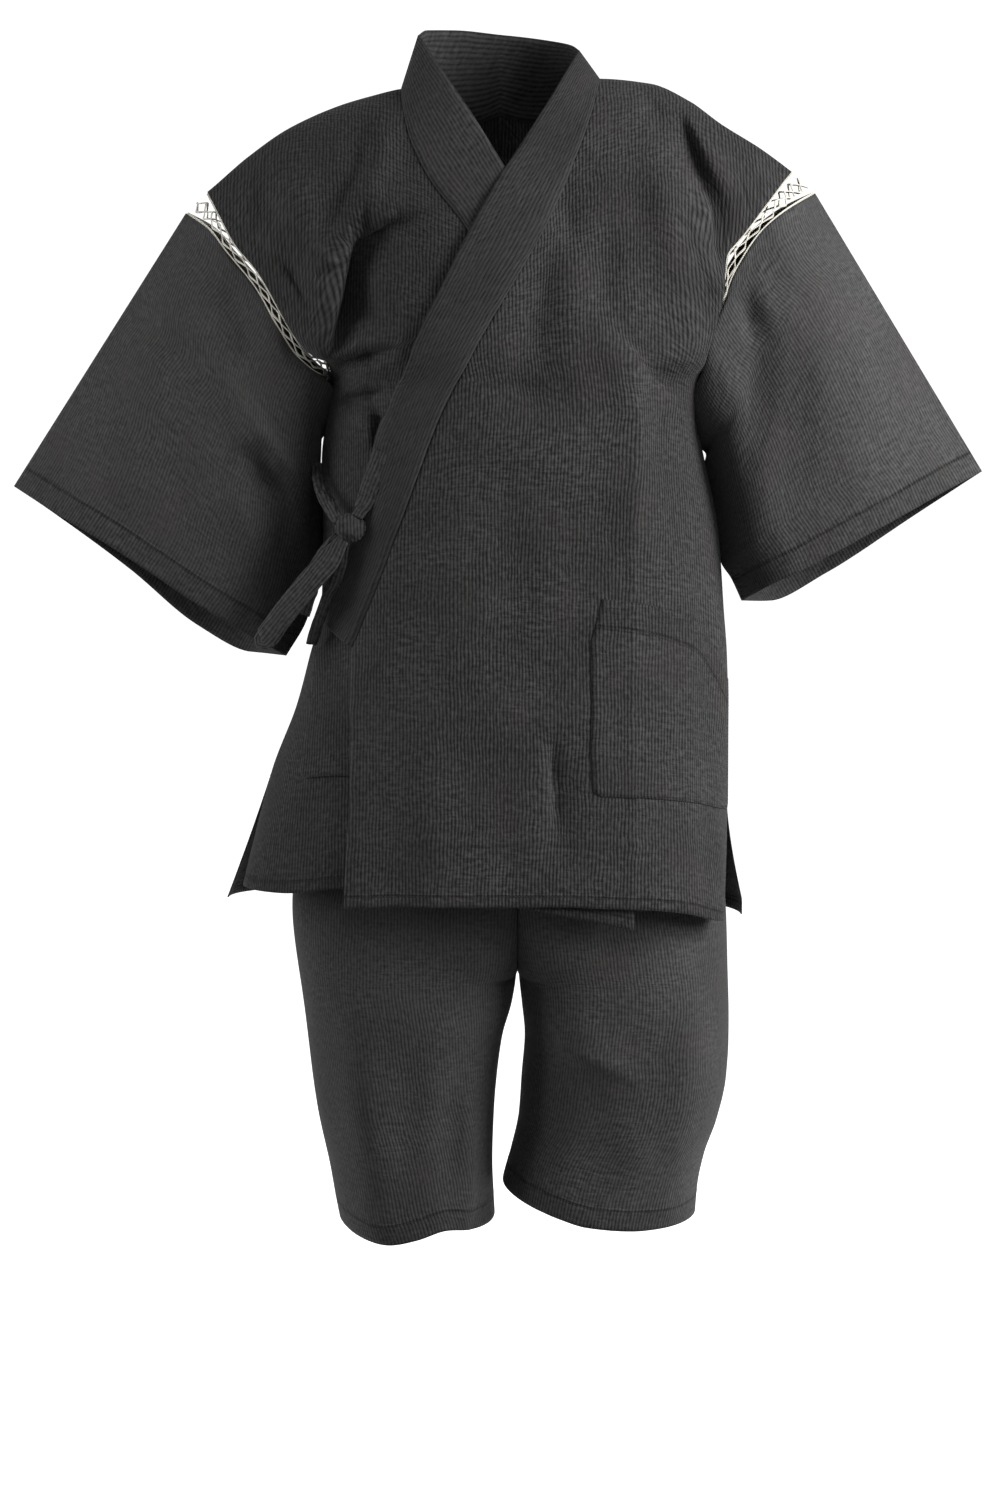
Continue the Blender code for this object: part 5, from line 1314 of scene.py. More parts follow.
@dataclass(frozen=True)
class CrepeCloth:
    """Ribbed cotton crepe, worn soft.

    Attributes:
        name: The material's name.
        seed: Chooses the unevenness.
        rib: From one rib to the next.
        rib_height: How high a rib stands.
        pucker_height: How high the crepe's puckers stand.
        wave: From one crosswise wave to the next.
        wave_width: Length of one wave across the cloth.
        wave_height: How high the waves stand.
        contrast: How strongly the painted shading in the grooves and the painted highlight on the
            ribs show, from 0 to 1.
        fold: Depth of the hem's fold, or 0 without one.
        tone: The yarn's colour.
        painted_shading: Scales the colour of this piece, as painted highlight above 1 and painted
            shading below 1, for how brightly the lamps fall on it.
    """

    name: str
    seed: float
    rib: float = 0.0029
    rib_height: float = 0.00032
    pucker_height: float = 0.00110
    wave: float = 0.0028
    wave_width: float = 0.011
    wave_height: float = 0.00026
    contrast: float = 1.0
    fold: float = 0.0
    tone: Tone = (0.0346, 0.0348, 0.0348)
    painted_shading: float = 1.0

    def material(self) -> Finish:
        """Build the finish."""
        made, graph = new_graph(self.name)
        u, v = graph.place("cloth")

        def noise(kind: Pattern) -> Value:
            """One of the cloth's smooth noises."""
            return graph.noise(u / kind.width, v / kind.length, kind.detail, self.seed + kind.seed)

        line = (u + (noise(WANDER) - 0.5) * STRAY) / self.rib
        rib = ((line * (2 * math.pi)).sine() * 0.5 + 0.5) ** 0.7
        waves = graph.noise(u / self.wave_width, v / self.wave, 1.0, self.seed + 5)
        beads = graph.noise(line, v / BEAD, 1.0, self.seed + 3)
        waved = waves.step_up(0.30, 0.70) * (0.2 + 0.8 * noise(WAVE_PLACES).step_up(0.30, 0.70))
        height = rib * (0.1 + 1.6 * beads) * self.rib_height
        height = height + noise(PUCKERS) * self.pucker_height + waved * self.wave_height
        # The colour follows the relief of ribs, beads and waves: painted shading in their grooves
        # and painted highlight on their crests.
        grain = (rib * 0.72 + waved * 0.40 + beads * 1.10 - 0.74) * self.contrast
        grain = grain + (1 - self.contrast) * 0.5
        if self.fold:
            hem = graph.place("hem")[0]
            inside = 1 - hem.step_up(self.fold - 0.0006, self.fold + 0.0012)
            groove = hem.bell(self.fold - 0.0018, 0.0022)
            gather = graph.noise(u / GATHER[0], hem / GATHER[1], 1.0, self.seed + 9)
            height = height + inside * 0.0006 - groove * 0.0005
            # Painted shading in the groove beside the hem's fold; the hem's doubled band is also
            # made a little darker.
            grain = grain - inside * 0.07 - groove * 0.30
            height = height + hem.bell(self.fold, 0.010) * (gather - 0.5) * 0.0011
        slub, patch = noise(SLUBS).step_up(0.60, 0.74), noise(WORN_PLACES).step_up(0.35, 0.75)
        # Every tone is scaled by the piece's painted highlight or painted shading.
        painted_groove_tone, painted_rib_tone, pale = (tuple(part * scale * self.painted_shading for part in self.tone)
                             for scale in (PAINTED_GROOVE_SHADING, PAINTED_RIB_HIGHLIGHT, PALE))
        worn = tuple(part * scale * self.painted_shading for part, scale in zip(self.tone, WORN_TINT))
        colour = graph.mix(grain, painted_groove_tone, painted_rib_tone)
        colour = graph.mix(slub * 0.30, colour, pale)
        colour = graph.mix(patch * 0.22, colour, worn)
        graph.surface(colour, 0.86 - 0.10 * rib, height,
                      {"Sheen Weight": 0.04, "Sheen Roughness": 0.45, "Specular IOR Level": 0.10})
        return made


@dataclass(frozen=True)
class LaceThread:
    """Plied ivory thread of the insertion lace."""

    name: str = "lace_thread"
    tone: Tone = (0.74, 0.71, 0.62)
    ply: float = 0.0016

    def material(self) -> Finish:
        """Build the finish."""
        made, graph = new_graph(self.name)
        u, v = graph.place("cloth")
        twist = (((v + u * 0.9) / self.ply) * (2 * math.pi)).sine() * 0.5 + 0.5
        worn = graph.noise(u / 0.004, v / 0.008, 1.0, 2.0)
        # Painted shading in the grooves between the plies: the thread is darker where the twist's
        # relief is low.
        painted_shading = tuple(part * 0.52 for part in self.tone)
        colour = graph.mix(twist * 0.65 + worn * 0.35, painted_shading, self.tone)
        graph.surface(colour, 0.62, twist * 0.00016, {"Sheen Weight": 0.12})
        return made


@dataclass(frozen=True)
class SewingThread:
    """Dark sewing thread."""

    name: str = "sewing_thread"
    tone: Tone = (0.020, 0.019, 0.018)

    def material(self) -> Finish:
        """Build the finish."""
        made, graph = new_graph(self.name)
        graph.surface(self.tone, 0.7, None, {"Sheen Weight": 0.04, "Specular IOR Level": 0.1})
        return made


@dataclass(frozen=True)
class StudioPaper:
    """Plain white paper of the studio floor."""

    name: str = "studio_paper"
    tone: Tone = (0.86, 0.86, 0.86)
    glow: float = 1.0

    def material(self) -> Finish:
        """Build the finish."""
        made, graph = new_graph(self.name)
        graph.surface(self.tone, 0.9, None, {"Emission Color": (1.0, 1.0, 1.0, 1.0),
                                             "Emission Strength": self.glow})
        return made


# ---- joining pieces
def clear_of(points: Array, normals: Array, turn: int, toward: Array,
             spare: float) -> Array:
    """Move seam points clear of the wall that they are sewn to.

    Args:
        points: The seam's points.
        normals: Outward normals of that wall.
        turn: 1 if it ends on the side of tangent x normal, else -1.
        toward: The direction in which the sewn piece leaves.
        spare: Room for a piece that twists as it leaves.

    Returns:
        The moved points.
    """
    outward = turn * np.cross(np.gradient(points, axis=0), normals)
    climb = np.sum(normals * toward, axis=-1, keepdims=True)
    folded = (np.sum(outward * toward, axis=-1, keepdims=True) < 0) & (climb > 0)
    above = (CLOTH + SEAM) / np.maximum(climb, FOLD_CLIMB)
    return points + toward * (spare + np.where(folded, above, -TUCK))


@dataclass(frozen=True)
class Cut:
    """The flat cut of one piece of cloth, in metres and square metres."""

    width: float
    length: float
    area: float


def dress(piece: Piece, node: str) -> None:
    """Let a piece ride on the model and stand for its node."""
    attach(piece, "root")
    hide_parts(node)


def make_cloth(node: str, sheet: Sheet, finish: Finish,
               lines: Sequence[Line] = (), thread: Finish | None = None,
               wall: float = CLOTH) -> None:
    """Make a node's cloth and its sewing.

    Args:
        node: The solid that the cloth stands for.
        sheet: The cloth.
        finish: Its material.
        lines: Its rows of stitches.
        thread: Their material.
        wall: Its thickness.
    """
    piece = build_cloth(f"{node}_cloth", sheet, wall, finish)
    sewing = [Stitches().build(f"{node}_sewing", lines, wall, thread)] if lines else []
    dress(piece, node)
    for row in sewing:
        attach(row, "root")


@dataclass(frozen=True)
class LaceForm:
    """Sizes of the insertion lace.

    Attributes:
        half: Half a thread's width, the unit of rails, clear, weave and bar_pitch.
        flatness: A thread's height, as a share of its width.
        rails: From each edge to its two threads.
        period: Length in which a strand crosses over and back.
        phases: Where in that length each strand starts.
        reach: How far a strand swings, as a share of the lace's width.
        widening: How much further it swings at the armpit.
        wide: Where, from the foot, that begins.
        clear: From an edge to the nearest turn.
        corner: How sharply a strand turns, from 0 to 1.
        bow: How much it bows between its turns.
        weave: How far it passes over and under.
        spread: How much further every second strand swings.
        step: From one point of a strand to the next.
        stay: Length of the threads that close the back at the armpit.
        stays: Number of those threads.
        bars: Number of threads across the lower end.
        bar_pitch: From one of them to the next.
        foot: Gap below the lace.
        head: Gap at the shoulder's ridge.
    """

    half: float = 0.00055
    flatness: float = 0.8
    rails: tuple[float, float] = (1.0, 3.2)
    period: float = 0.037
    phases: tuple[float, ...] = (0.0, 0.02, 0.5, 0.52)
    reach: float = 0.27
    widening: float = 0.14
    wide: tuple[float, float] = (0.055, 0.010)
    clear: float = 2.6
    corner: float = 0.96
    bow: float = 1.3
    weave: tuple[float, float] = (0.8, 0.5)
    spread: float = 0.22
    step: float = 0.0018
    stay: float = 0.024
    stays: int = 7
    bars: int = 5
    bar_pitch: float = 1.6
    foot: float = 0.0015
    head: float = 0.0012


LACE = LaceForm()


# ---- the jacket
@dataclass
class Jacket:
    """The crossed jacket: body lengths, neck band, sleeves, lace and pockets.

    Attributes:
        columns: Across one body length.
        front_rows: Hem, pocket's foot, neck band's end, pocket's mouth, armpit.
        shoulder_rows: Armpit to shoulder.
        neck_rows: Of those, behind the neck's curve.
        back_rows: Armpit to the back hem.
        sleeve_rows: Down a sleeve.
        band_columns: Across the neck band.
        hem_fold: Depth of the body's hem.
        cuff_fold: Depth of the sleeves' hem.
        mouth_fold: Depth of the pockets' hem.
        corner: Radius of a pocket's lower corners.
        slack_start: Part of a sleeve over which its slack begins to hang.
        lip_start: Part of it over which the left head's lip rises.
        lip_end: Part over which that lip ends.
        lip_round: Parts of the way up the armhole between which the lip ends.
        head_calm: Part of a sleeve over which the drape begins.
    """

    columns: int = 96
    front_rows: tuple[int, ...] = (27, 36, 11, 50)
    shoulder_rows: int = 72
    neck_rows: int = 32
    back_rows: int = 128
    sleeve_rows: int = 72
    band_columns: int = 12
    hem_fold: float = 0.011
    cuff_fold: float = 0.021
    mouth_fold: float = 0.024
    corner: float = 0.007
    slack_start: tuple[float, float] = (0.0, 0.03)
    lip_start: tuple[float, float] = (0.0, 0.06)
    lip_end: tuple[float, float] = (0.08, 0.30)
    lip_round: tuple[float, float] = (0.50, 0.32)
    head_calm: tuple[float, float] = (0.0, 0.16)

    def __post_init__(self) -> None:
        """Work out the body lengths that every other piece is laid on."""
        self.levels = self.lower_levels()
        self.bases, self.grids = {}, {}
        for side in Side:
            self.bases[side], self.grids[side] = self.body_length(side)
        self.shoulder_row = sum(self.front_rows) + self.shoulder_rows + 1

    def lower_levels(self) -> Array:
        """Heights of a front's rows from the hem to the armpit."""
        stops = (FRONT_HEM_Z, POCKET_BOTTOM_Z, COLLAR_END_Z, POCKET_TOP_Z, ARMPIT_Z)
        levels = [FRONT_HEM_Z]
        for low, high, count in zip(stops[:-1], stops[1:], self.front_rows):
            levels.extend(np.linspace(low, high, count + 1)[1:])
        return np.array(levels)

    def row_at(self, z: float) -> int:
        """The front's row at a height."""
        return int(np.argmin(np.abs(self.levels - z)))

    def shoulder_levels(self, side: Side, face: Face) -> list[tuple[float, float]]:
        """Each shoulder row's fraction of the rise, at its inner end and at the armhole."""
        up = np.linspace(0, 1, 400)
        x, depth = ARMHOLE[side]("x", up), ARMHOLE[side]("depth", up)
        z = ARMPIT_Z + up * (RIDGE("z", x) - ARMPIT_Z)
        total = lengths(np.stack([x, depth, z], axis=-1))
        share = np.arange(1, self.shoulder_rows + 1) / self.shoulder_rows
        outer = np.interp(share * total[-1], total, up)
        if face is FRONT:
            return list(zip(np.sin(share * math.pi / 2), outer))
        below = self.shoulder_rows - self.neck_rows
        neck = np.arange(self.neck_rows, 0, -1) / self.neck_rows
        curve = 1 - (1 - BACK_NECK_UP) * np.sin(neck * math.pi / 2)
        inner = [*np.linspace(0, BACK_NECK_UP, below + 1)[1:-1], *curve, 1.0]
        return list(zip(inner, outer))

    def cut_row(self, row: Array, inner_x: Numbers, sign: int) -> Array:
        """Keep the part of a fine row beyond its inner edge, spaced into columns.

        Args:
            row: Closely spaced points.
            inner_x: The inner edge's x beside each point.
            sign: Side of the body.

        Returns:
            One point for each column.
        """
        past = (row[:, 0] - inner_x) * sign
        k = int(np.argmax(past > 0))
        if k > 0:
            t = past[k - 1] / (past[k - 1] - past[k])
            row = np.vstack([row[k - 1] + t * (row[k] - row[k - 1]), row[k:]])
        total = lengths(row)[-1]
        even = np.linspace(0, 1, self.columns + 1)
        share = even + COLUMN_DRIFT * np.sin(even * math.pi)
        return along(row, (total - SEAM / 2) * share)

    def body_length(self, side: Side) -> tuple[Array, Array]:
        """Lay out one body length: front hem, up over the shoulder, back hem.

        Args:
            side: Left or right.

        Returns:
            The length without its folds, and with them.
        """
        layer = FRONT_LAYER[side]
        sign = side.sign
        seam = SEAM_LINE[layer]
        rows = []
        for z in self.levels:
            row = low_row(side, FRONT, seam("x", z) - ROW_SPARE * sign, z, HEM[layer],
                          ease(*HEM_BEND[FRONT], z))
            rows.append(self.cut_row(row, seam("x", row[:, 2]), sign))
        for inner_up, outer_up in self.shoulder_levels(side, FRONT):
            row = high_row(side, FRONT, -NECK_SPARE * sign, inner_up, outer_up)
            rows.append(self.cut_row(row, seam("x", row[:, 2]), sign))
        over = len(rows) - 1
        neck_x = abs(seam("x", RIDGE("z", NECK_HALF * sign)))
        for inner_up, outer_up in self.shoulder_levels(side, BACK)[-2::-1]:
            row = high_row(side, BACK, 0.0, inner_up, outer_up)
            fall = np.clip((1 - inner_up) / (1 - BACK_NECK_UP), 0, 1)
            rows.append(self.cut_row(row, sign * neck_x * math.sqrt(1 - fall ** 2), sign))
        for z in np.linspace(ARMPIT_Z, BACK_HEM_Z, self.back_rows + 1):
            weight = ease(*HEM_BEND[BACK], z)
            row = low_row(side, BACK, 0.0, z, HEM[Layer.BACK], weight)
            rows.append(self.cut_row(row, 0.0, sign))
        full = np.array(rows)
        grid = soften(full[..., :3], sum(self.front_rows), ARMPIT_BLUR)
        grid = soften(grid, len(rows) - 1 - self.back_rows, ARMPIT_BLUR)
        for face, part in ((FRONT, slice(0, over + 1)), (BACK, slice(over + 1, None))):
            x, share, up = np.moveaxis(full[part, :, 3:], -1, 0)
            z = grid[part, :, 2].copy()
            grid[part, :, 1] += folds(x, z, up, share, face) * face.sign
            for lip in LIPS[side, face]:
                shift = crease_height(x, z, lip.line) * (1 - share ** EDGE_CALM)
                grid[part, :, 0] += shift * lip.dx
                grid[part, :, 2] += shift * lip.dz
        if layer is OUTER:
            x, z = grid[..., 0], grid[..., 2]
            lift = overlap_lift(x, z) + crease_height(x, z, OUTER_CREASES)
            lift[over:] = 0
            grid = grid + sheet_normals(grid) * lift[..., None]
        return full[..., [3, 1, 2]], grid

    # ---- neck band
    def front_band(self, side: Side) -> list[Array]:
        """The band's stations on one front, from its lower end up to the shoulder."""
        layer = FRONT_LAYER[side]
        grid = self.grids[side]
        first = self.row_at(COLLAR_END_Z)
        table = COLLAR_EDGE[layer]
        ratio = np.linspace(0, 1, self.band_columns + 1)
        lift = np.full(len(ratio), OVER_LIFT if layer is OUTER else 0.0)
        lift += BAND_PUFF * np.sin(ratio * math.pi)
        stations = []
        for j in range(first, self.shoulder_row):
            seam = grid[j, 0]
            edge = np.array([float(table(column, seam[2])) for column in "xyz"])
            stand = float(ease(*BAND_STAND, seam[2]))
            free = seam + (edge - seam) * ratio[:, None]
            laid = on_front(free[:, 0], np.minimum(free[:, 2], BAND_TOP_Z), lift)
            station = laid * (1 - stand) + free * stand
            station[0] = seam
            stations.append(station)
        return stations

    def back_band(self, side: Side) -> list[Array]:
        """The band's stations behind the neck on one side, shoulder to middle."""
        ratio = np.linspace(0, 1, self.band_columns + 1)[:, None]
        stations = []
        for seam in self.grids[side][self.shoulder_row:self.shoulder_row + self.neck_rows, 0]:
            edge = [float(BACK_COLLAR_EDGE(column, seam[0])) for column in ("edge_x", "y", "z")]
            stations.append(seam + (np.array(edge) - seam) * ratio)
        return stations

    def band_grid(self) -> Array:
        """The whole band, from the under front's end to the outer front's end."""
        first = self.row_at(COLLAR_END_Z)
        last = self.shoulder_row + self.neck_rows
        halves = []
        for side in (RIGHT, LEFT):
            half = np.array(self.front_band(side) + self.back_band(side))
            toward = unit(half[:, 1] - half[:, 0])
            normals = sheet_normals(self.grids[side])[first:last, 0] * side.sign
            half[:, 0] = clear_of(half[:, 0], normals, -side.sign, toward, 0.0)
            halves.append(half)
        under, outer = halves
        middle = (under[-1] + outer[-1]) / 2
        return np.vstack([under[:-1], middle[None], outer[-2::-1]])

    # ---- sleeves
    def underarm_fall(self, side: Side, line: Array) -> Array:
        """Find how far the sleeve's slack hangs towards the body.

        Args:
            side: Left or right.
            line: The underarm line, head to cuff.

        Returns:
            The distance at each of its points.
        """
        body = np.abs(RINGS(side.value, line[:, 2])) + 2 * CLOTH
        touch = np.abs(line[:, 0]) - body - UNDERARM_GAP[side]("gap", line[:, 2])
        down = np.linspace(0, 1, len(line))
        least = UNDERARM_FALL[side] * 4 * down * (1 - down)
        return np.maximum(least, touch * ease(*self.slack_start, down))

    def sleeve_grid(self, side: Side) -> Array:
        """Rings of the sleeve from its head to its cuff, front half first."""
        count = self.shoulder_rows
        halves = []
        for face in Face:
            points = outline(SLEEVE_HEAD[side]) * (1, -face.sign, 1)
            head = smooth_path(points, count, HEAD_DRIFT[side])
            cuff = smooth_path(outline(CUFF[side, face]), count)
            down = np.linspace(0, 1, self.sleeve_rows + 1)[:, None, None]
            sheet = head + (cuff - head) * down
            low = np.linspace(1, 0, count + 1) ** 3
            sheet[..., 0] -= side.sign * self.underarm_fall(side, sheet[:, 0])[:, None] * low
            level = down[..., 0]
            near = ease(*self.lip_start, level) * (1 - ease(*self.lip_end, level))
            lip = HEAD_LIP[side] * near * ease(*self.lip_round, np.linspace(0, 1, count + 1))
            sheet[..., 0] -= side.sign * lip
            sheet[..., 1] += face.sign * lip * 0.5
            x, z = sheet[..., 0], sheet[..., 2]
            height = crease_height(x, z, SLEEVE_CREASES[side, face])
            fade = np.sin(np.linspace(0, math.pi, count + 1)) ** 0.5
            calm = ease(*self.head_calm, level)
            height = height + drape(x, z, DRAPE_SEED[face] + side.sign * SLEEVE_SEED) * calm
            sheet[..., 1] += height * fade * face.sign
            halves.append(sheet)
        front, back = halves
        return np.concatenate([front, back[:, -2:0:-1]], axis=1)

    # ---- lace
    def armhole_edge(self, grid: Array, face: Face) -> Array:
        """A body length's armhole edge, from the armpit to the shoulder."""
        if face is FRONT:
            return grid[sum(self.front_rows):self.shoulder_row, -1]
        return grid[self.shoulder_row - 1:self.shoulder_row + self.shoulder_rows, -1][::-1]

    def lace_sides(self, side: Side, face: Face) -> tuple[Array, Array, Array]:
        """Find the two edges that a stretch of lace joins.

        Args:
            side: Left or right.
            face: Front or back.

        Returns:
            The edge on the body, the edge on the sleeve, and outward normals.
        """
        grid = self.grids[side]
        inner = self.armhole_edge(grid, face)
        normals = self.armhole_edge(sheet_normals(grid) * side.sign, face)
        sleeve = self.sleeve_grid(side)
        facing = sheet_normals(sleeve) * -side.sign
        place = np.arange(self.shoulder_rows + 1) * (1 if face is FRONT else -1)
        outer, outer_normals = sleeve[0, place], facing[0, place]
        across = unit(outer - inner)
        turn = -side.sign * face.sign
        inner = clear_of(inner, normals, turn, across, 0.0)
        outer = clear_of(outer, outer_normals, -turn, -across, 0.0)
        return inner, outer, unit(normals + outer_normals)

    def build_lace(self, side: Side, face: Face, finish: Finish) -> Piece:
        """Make one stretch of lace: two rails and crossing strands."""
        lace = LACE
        inner, outer, normals = self.lace_sides(side, face)
        total = lengths((inner + outer) / 2)
        count = int(total[-1] / lace.step)
        ends = (lace.foot, total[-1] - lace.head)
        run = np.linspace(*ends, count + 1)
        a, b = along_with(inner, total, run), along_with(outer, total, run)
        facing = unit(along_with(normals, total, run))
        facing = unit(facing - unit(b - a) * np.sum(facing * unit(b - a), axis=1, keepdims=True))
        middle = facing * CLOTH / 2
        beside = unit(b - a) * lace.half
        paths = [(edge + middle + way * k, facing)
                 for edge, way in ((a, beside), (b, -beside)) for k in lace.rails]
        width = np.linalg.norm(b - a, axis=1)
        most = lace.reach + lace.widening * ease(*lace.wide, run)
        reach = np.clip(0.5 - lace.half * lace.clear / width, 0, most)
        for k, phase in enumerate(lace.phases):
            turn = 2 * math.pi * (run / lace.period + phase)
            zigzag = np.arcsin(lace.corner * np.sin(turn)) * 2 / math.pi
            swing = np.sign(zigzag) * abs(zigzag) ** lace.bow
            share = 0.5 + reach * (1 + lace.spread * (k % 2)) * swing
            over = lace.weave[0] * np.cos(turn) * (1 if k < 2 else -1)
            weave = lace.half * (over + lace.weave[1] * (k % 2))
            paths.append((a + (b - a) * share[:, None] + middle + facing * weave[:, None], facing))
        if face is BACK:
            near = run < lace.stay
            for spot in np.linspace(0.15, 0.85, lace.stays):
                paths.append((a[near] + (b - a)[near] * spot + middle[near], facing[near]))
        tail = unit(a[0] + b[0] - a[1] - b[1]) * lace.half
        share = np.linspace(-0.1, 1.1, 6)[:, None]
        for k in range(lace.bars):
            bar = a[0] + (b[0] - a[0]) * share + middle[0] + tail * (lace.bar_pitch * k - 1)
            paths.append((bar, np.repeat(facing[:1], 6, axis=0)))
        return build_cords(f"lace_{side.value}_{face.value}_threads", paths,
                           (lace.half, lace.half * lace.flatness), finish)

    # ---- pockets
    def pocket_sheet(self, side: Side, panel: Sheet) -> Sheet:
        """A patch pocket made from its panel's own points, moved out.

        Args:
            side: Left or right.
            panel: The body length.

        Returns:
            The pocket's sheet.
        """
        bottom, top = self.row_at(POCKET_BOTTOM_Z), self.row_at(POCKET_TOP_Z)
        patch = POCKETS[side]
        scale = self.columns / PATCH_COLUMNS
        moved = panel.grid + panel.normals() * (CLOTH + POCKET_GAP[side])
        columns = np.arange(self.columns + 1)
        rows = np.arange(bottom, top + 1)
        up = (self.levels[rows] - self.levels[bottom]) / (self.levels[top] - self.levels[bottom])
        height = lengths(moved[bottom:top + 1, int(PATCH_MIDDLE * scale)])
        inset = self.corner - np.sqrt(self.corner ** 2
                                      - np.clip(self.corner - height, 0, self.corner) ** 2)
        grid, across, down = [], [], []
        for j, share, pull in zip(rows, up, inset):
            wide = lengths(moved[j])[-1] / self.columns
            first = (patch.first_foot + (patch.first_mouth - patch.first_foot) * share) * scale
            last = (patch.last_foot + (patch.last_mouth - patch.last_foot) * share) * scale
            place = np.linspace(first + pull / wide, last - pull / wide, POCKET_COLUMNS + 1)
            grid.append(along_with(moved[j], columns, place))
            across.append(np.interp(place, columns, panel.across[j]))
            down.append(np.interp(place, columns, panel.down[j]))
        hem = Sheet.measured(np.array(grid), panel.out, hems=(-1,)).hem
        return Sheet(np.array(grid), panel.out, np.array(across) + GRAIN_SHIFT, np.array(down), hem)

    # ---- making
    def build_panel(self, side: Side, thread: Finish) -> Sheet:
        """Make one body length with its hem's sewing."""
        sheet = Sheet.measured(self.bases[side], side.sign, grain=GRAIN_LINE)
        sheet.grid = self.grids[side]
        finish = CrepeCloth(f"{side.value}_panel_crepe", 1.0 + side.sign, contrast=0.9,
                            painted_shading=PANEL_PAINTED_SHADING[side], fold=self.hem_fold).material()
        below, vent = slice(0, self.row_at(COLLAR_END_Z)), slice(0, self.row_at(VENT_TOP_Z[side]))
        lines = [sheet.line_from_end(self.hem_fold - HEM_STITCH, last) for last in (False, True)]
        lines += [sheet.line_from_side(FRONT_STITCH, False, below),
                  sheet.line_from_side(VENT_STITCH, True, vent)]
        make_cloth(f"jacket_{side.value}_panel", sheet, finish, lines, thread)
        return sheet

    def build_pocket(self, side: Side, panel: Sheet, thread: Finish) -> None:
        """Make one patch pocket with its sewing."""
        sheet = self.pocket_sheet(side, panel)
        finish = CrepeCloth(f"{side.value}_pocket_crepe", 5.0 + side.sign, contrast=0.9,
                            painted_shading=PANEL_PAINTED_SHADING[side], fold=self.mouth_fold).material()
        lines = [sheet.line_from_end(self.mouth_fold - HEM_STITCH, True),
                 sheet.line_from_end(EDGE_STITCH, False),
                 sheet.line_from_side(EDGE_STITCH, False), sheet.line_from_side(EDGE_STITCH, True)]
        make_cloth(f"pocket_{side.value}", sheet, finish, lines, thread)

    def build_sleeve(self, side: Side, thread: Finish) -> None:
        """Make one sleeve with its cuff's sewing."""
        sheet = Sheet.measured(self.sleeve_grid(side), -side.sign, hems=(-1,), closed=True)
        finish = CrepeCloth(f"{side.value}_sleeve_crepe", 9.0 + side.sign, rib_height=0.00018,
                            pucker_height=0.0012, wave_height=0.00022, contrast=0.5,
                            painted_shading=SLEEVE_PAINTED_SHADING[side], fold=self.cuff_fold).material()
        line = sheet.line_from_end(self.cuff_fold - HEM_STITCH, True)
        ring = tuple(np.vstack([part, part[:1]]) for part in line)
        make_cloth(f"sleeve_{side.value}", sheet, finish, [ring], thread)

    def build_band(self) -> None:
        """Make the neck band, whose ribs run along it."""
        grid = self.band_grid()
        turned = Sheet.measured(np.swapaxes(grid, 0, 1), -1, hems=())
        across, down, hem = (np.swapaxes(part, 0, 1)
                             for part in (turned.down, turned.across, turned.hem))
        # The band's colour is scaled down to 0.71: painted shading, for how the lamps fall on it.
        finish = CrepeCloth("neck_band_crepe", 15.0, rib_height=0.00016, pucker_height=0.0007,
                            wave_height=0.00016, contrast=0.6, painted_shading=0.71).material()
        sheet = Sheet(grid, 1, across, down, hem)
        make_cloth("collar", sheet, finish, wall=COLLAR_CLOTH)

    def build(self, thread: Finish, ivory: Finish) -> None:
        """Make the whole jacket.

        Args:
            thread: The sewing thread's finish.
            ivory: The lace's finish.
        """
        for side in Side:
            panel = self.build_panel(side, thread)
            self.build_pocket(side, panel, thread)
            self.build_sleeve(side, thread)
            for face in Face:
                dress(self.build_lace(side, face, ivory), f"lace_{side.value}_{face.value}")
        self.build_band()


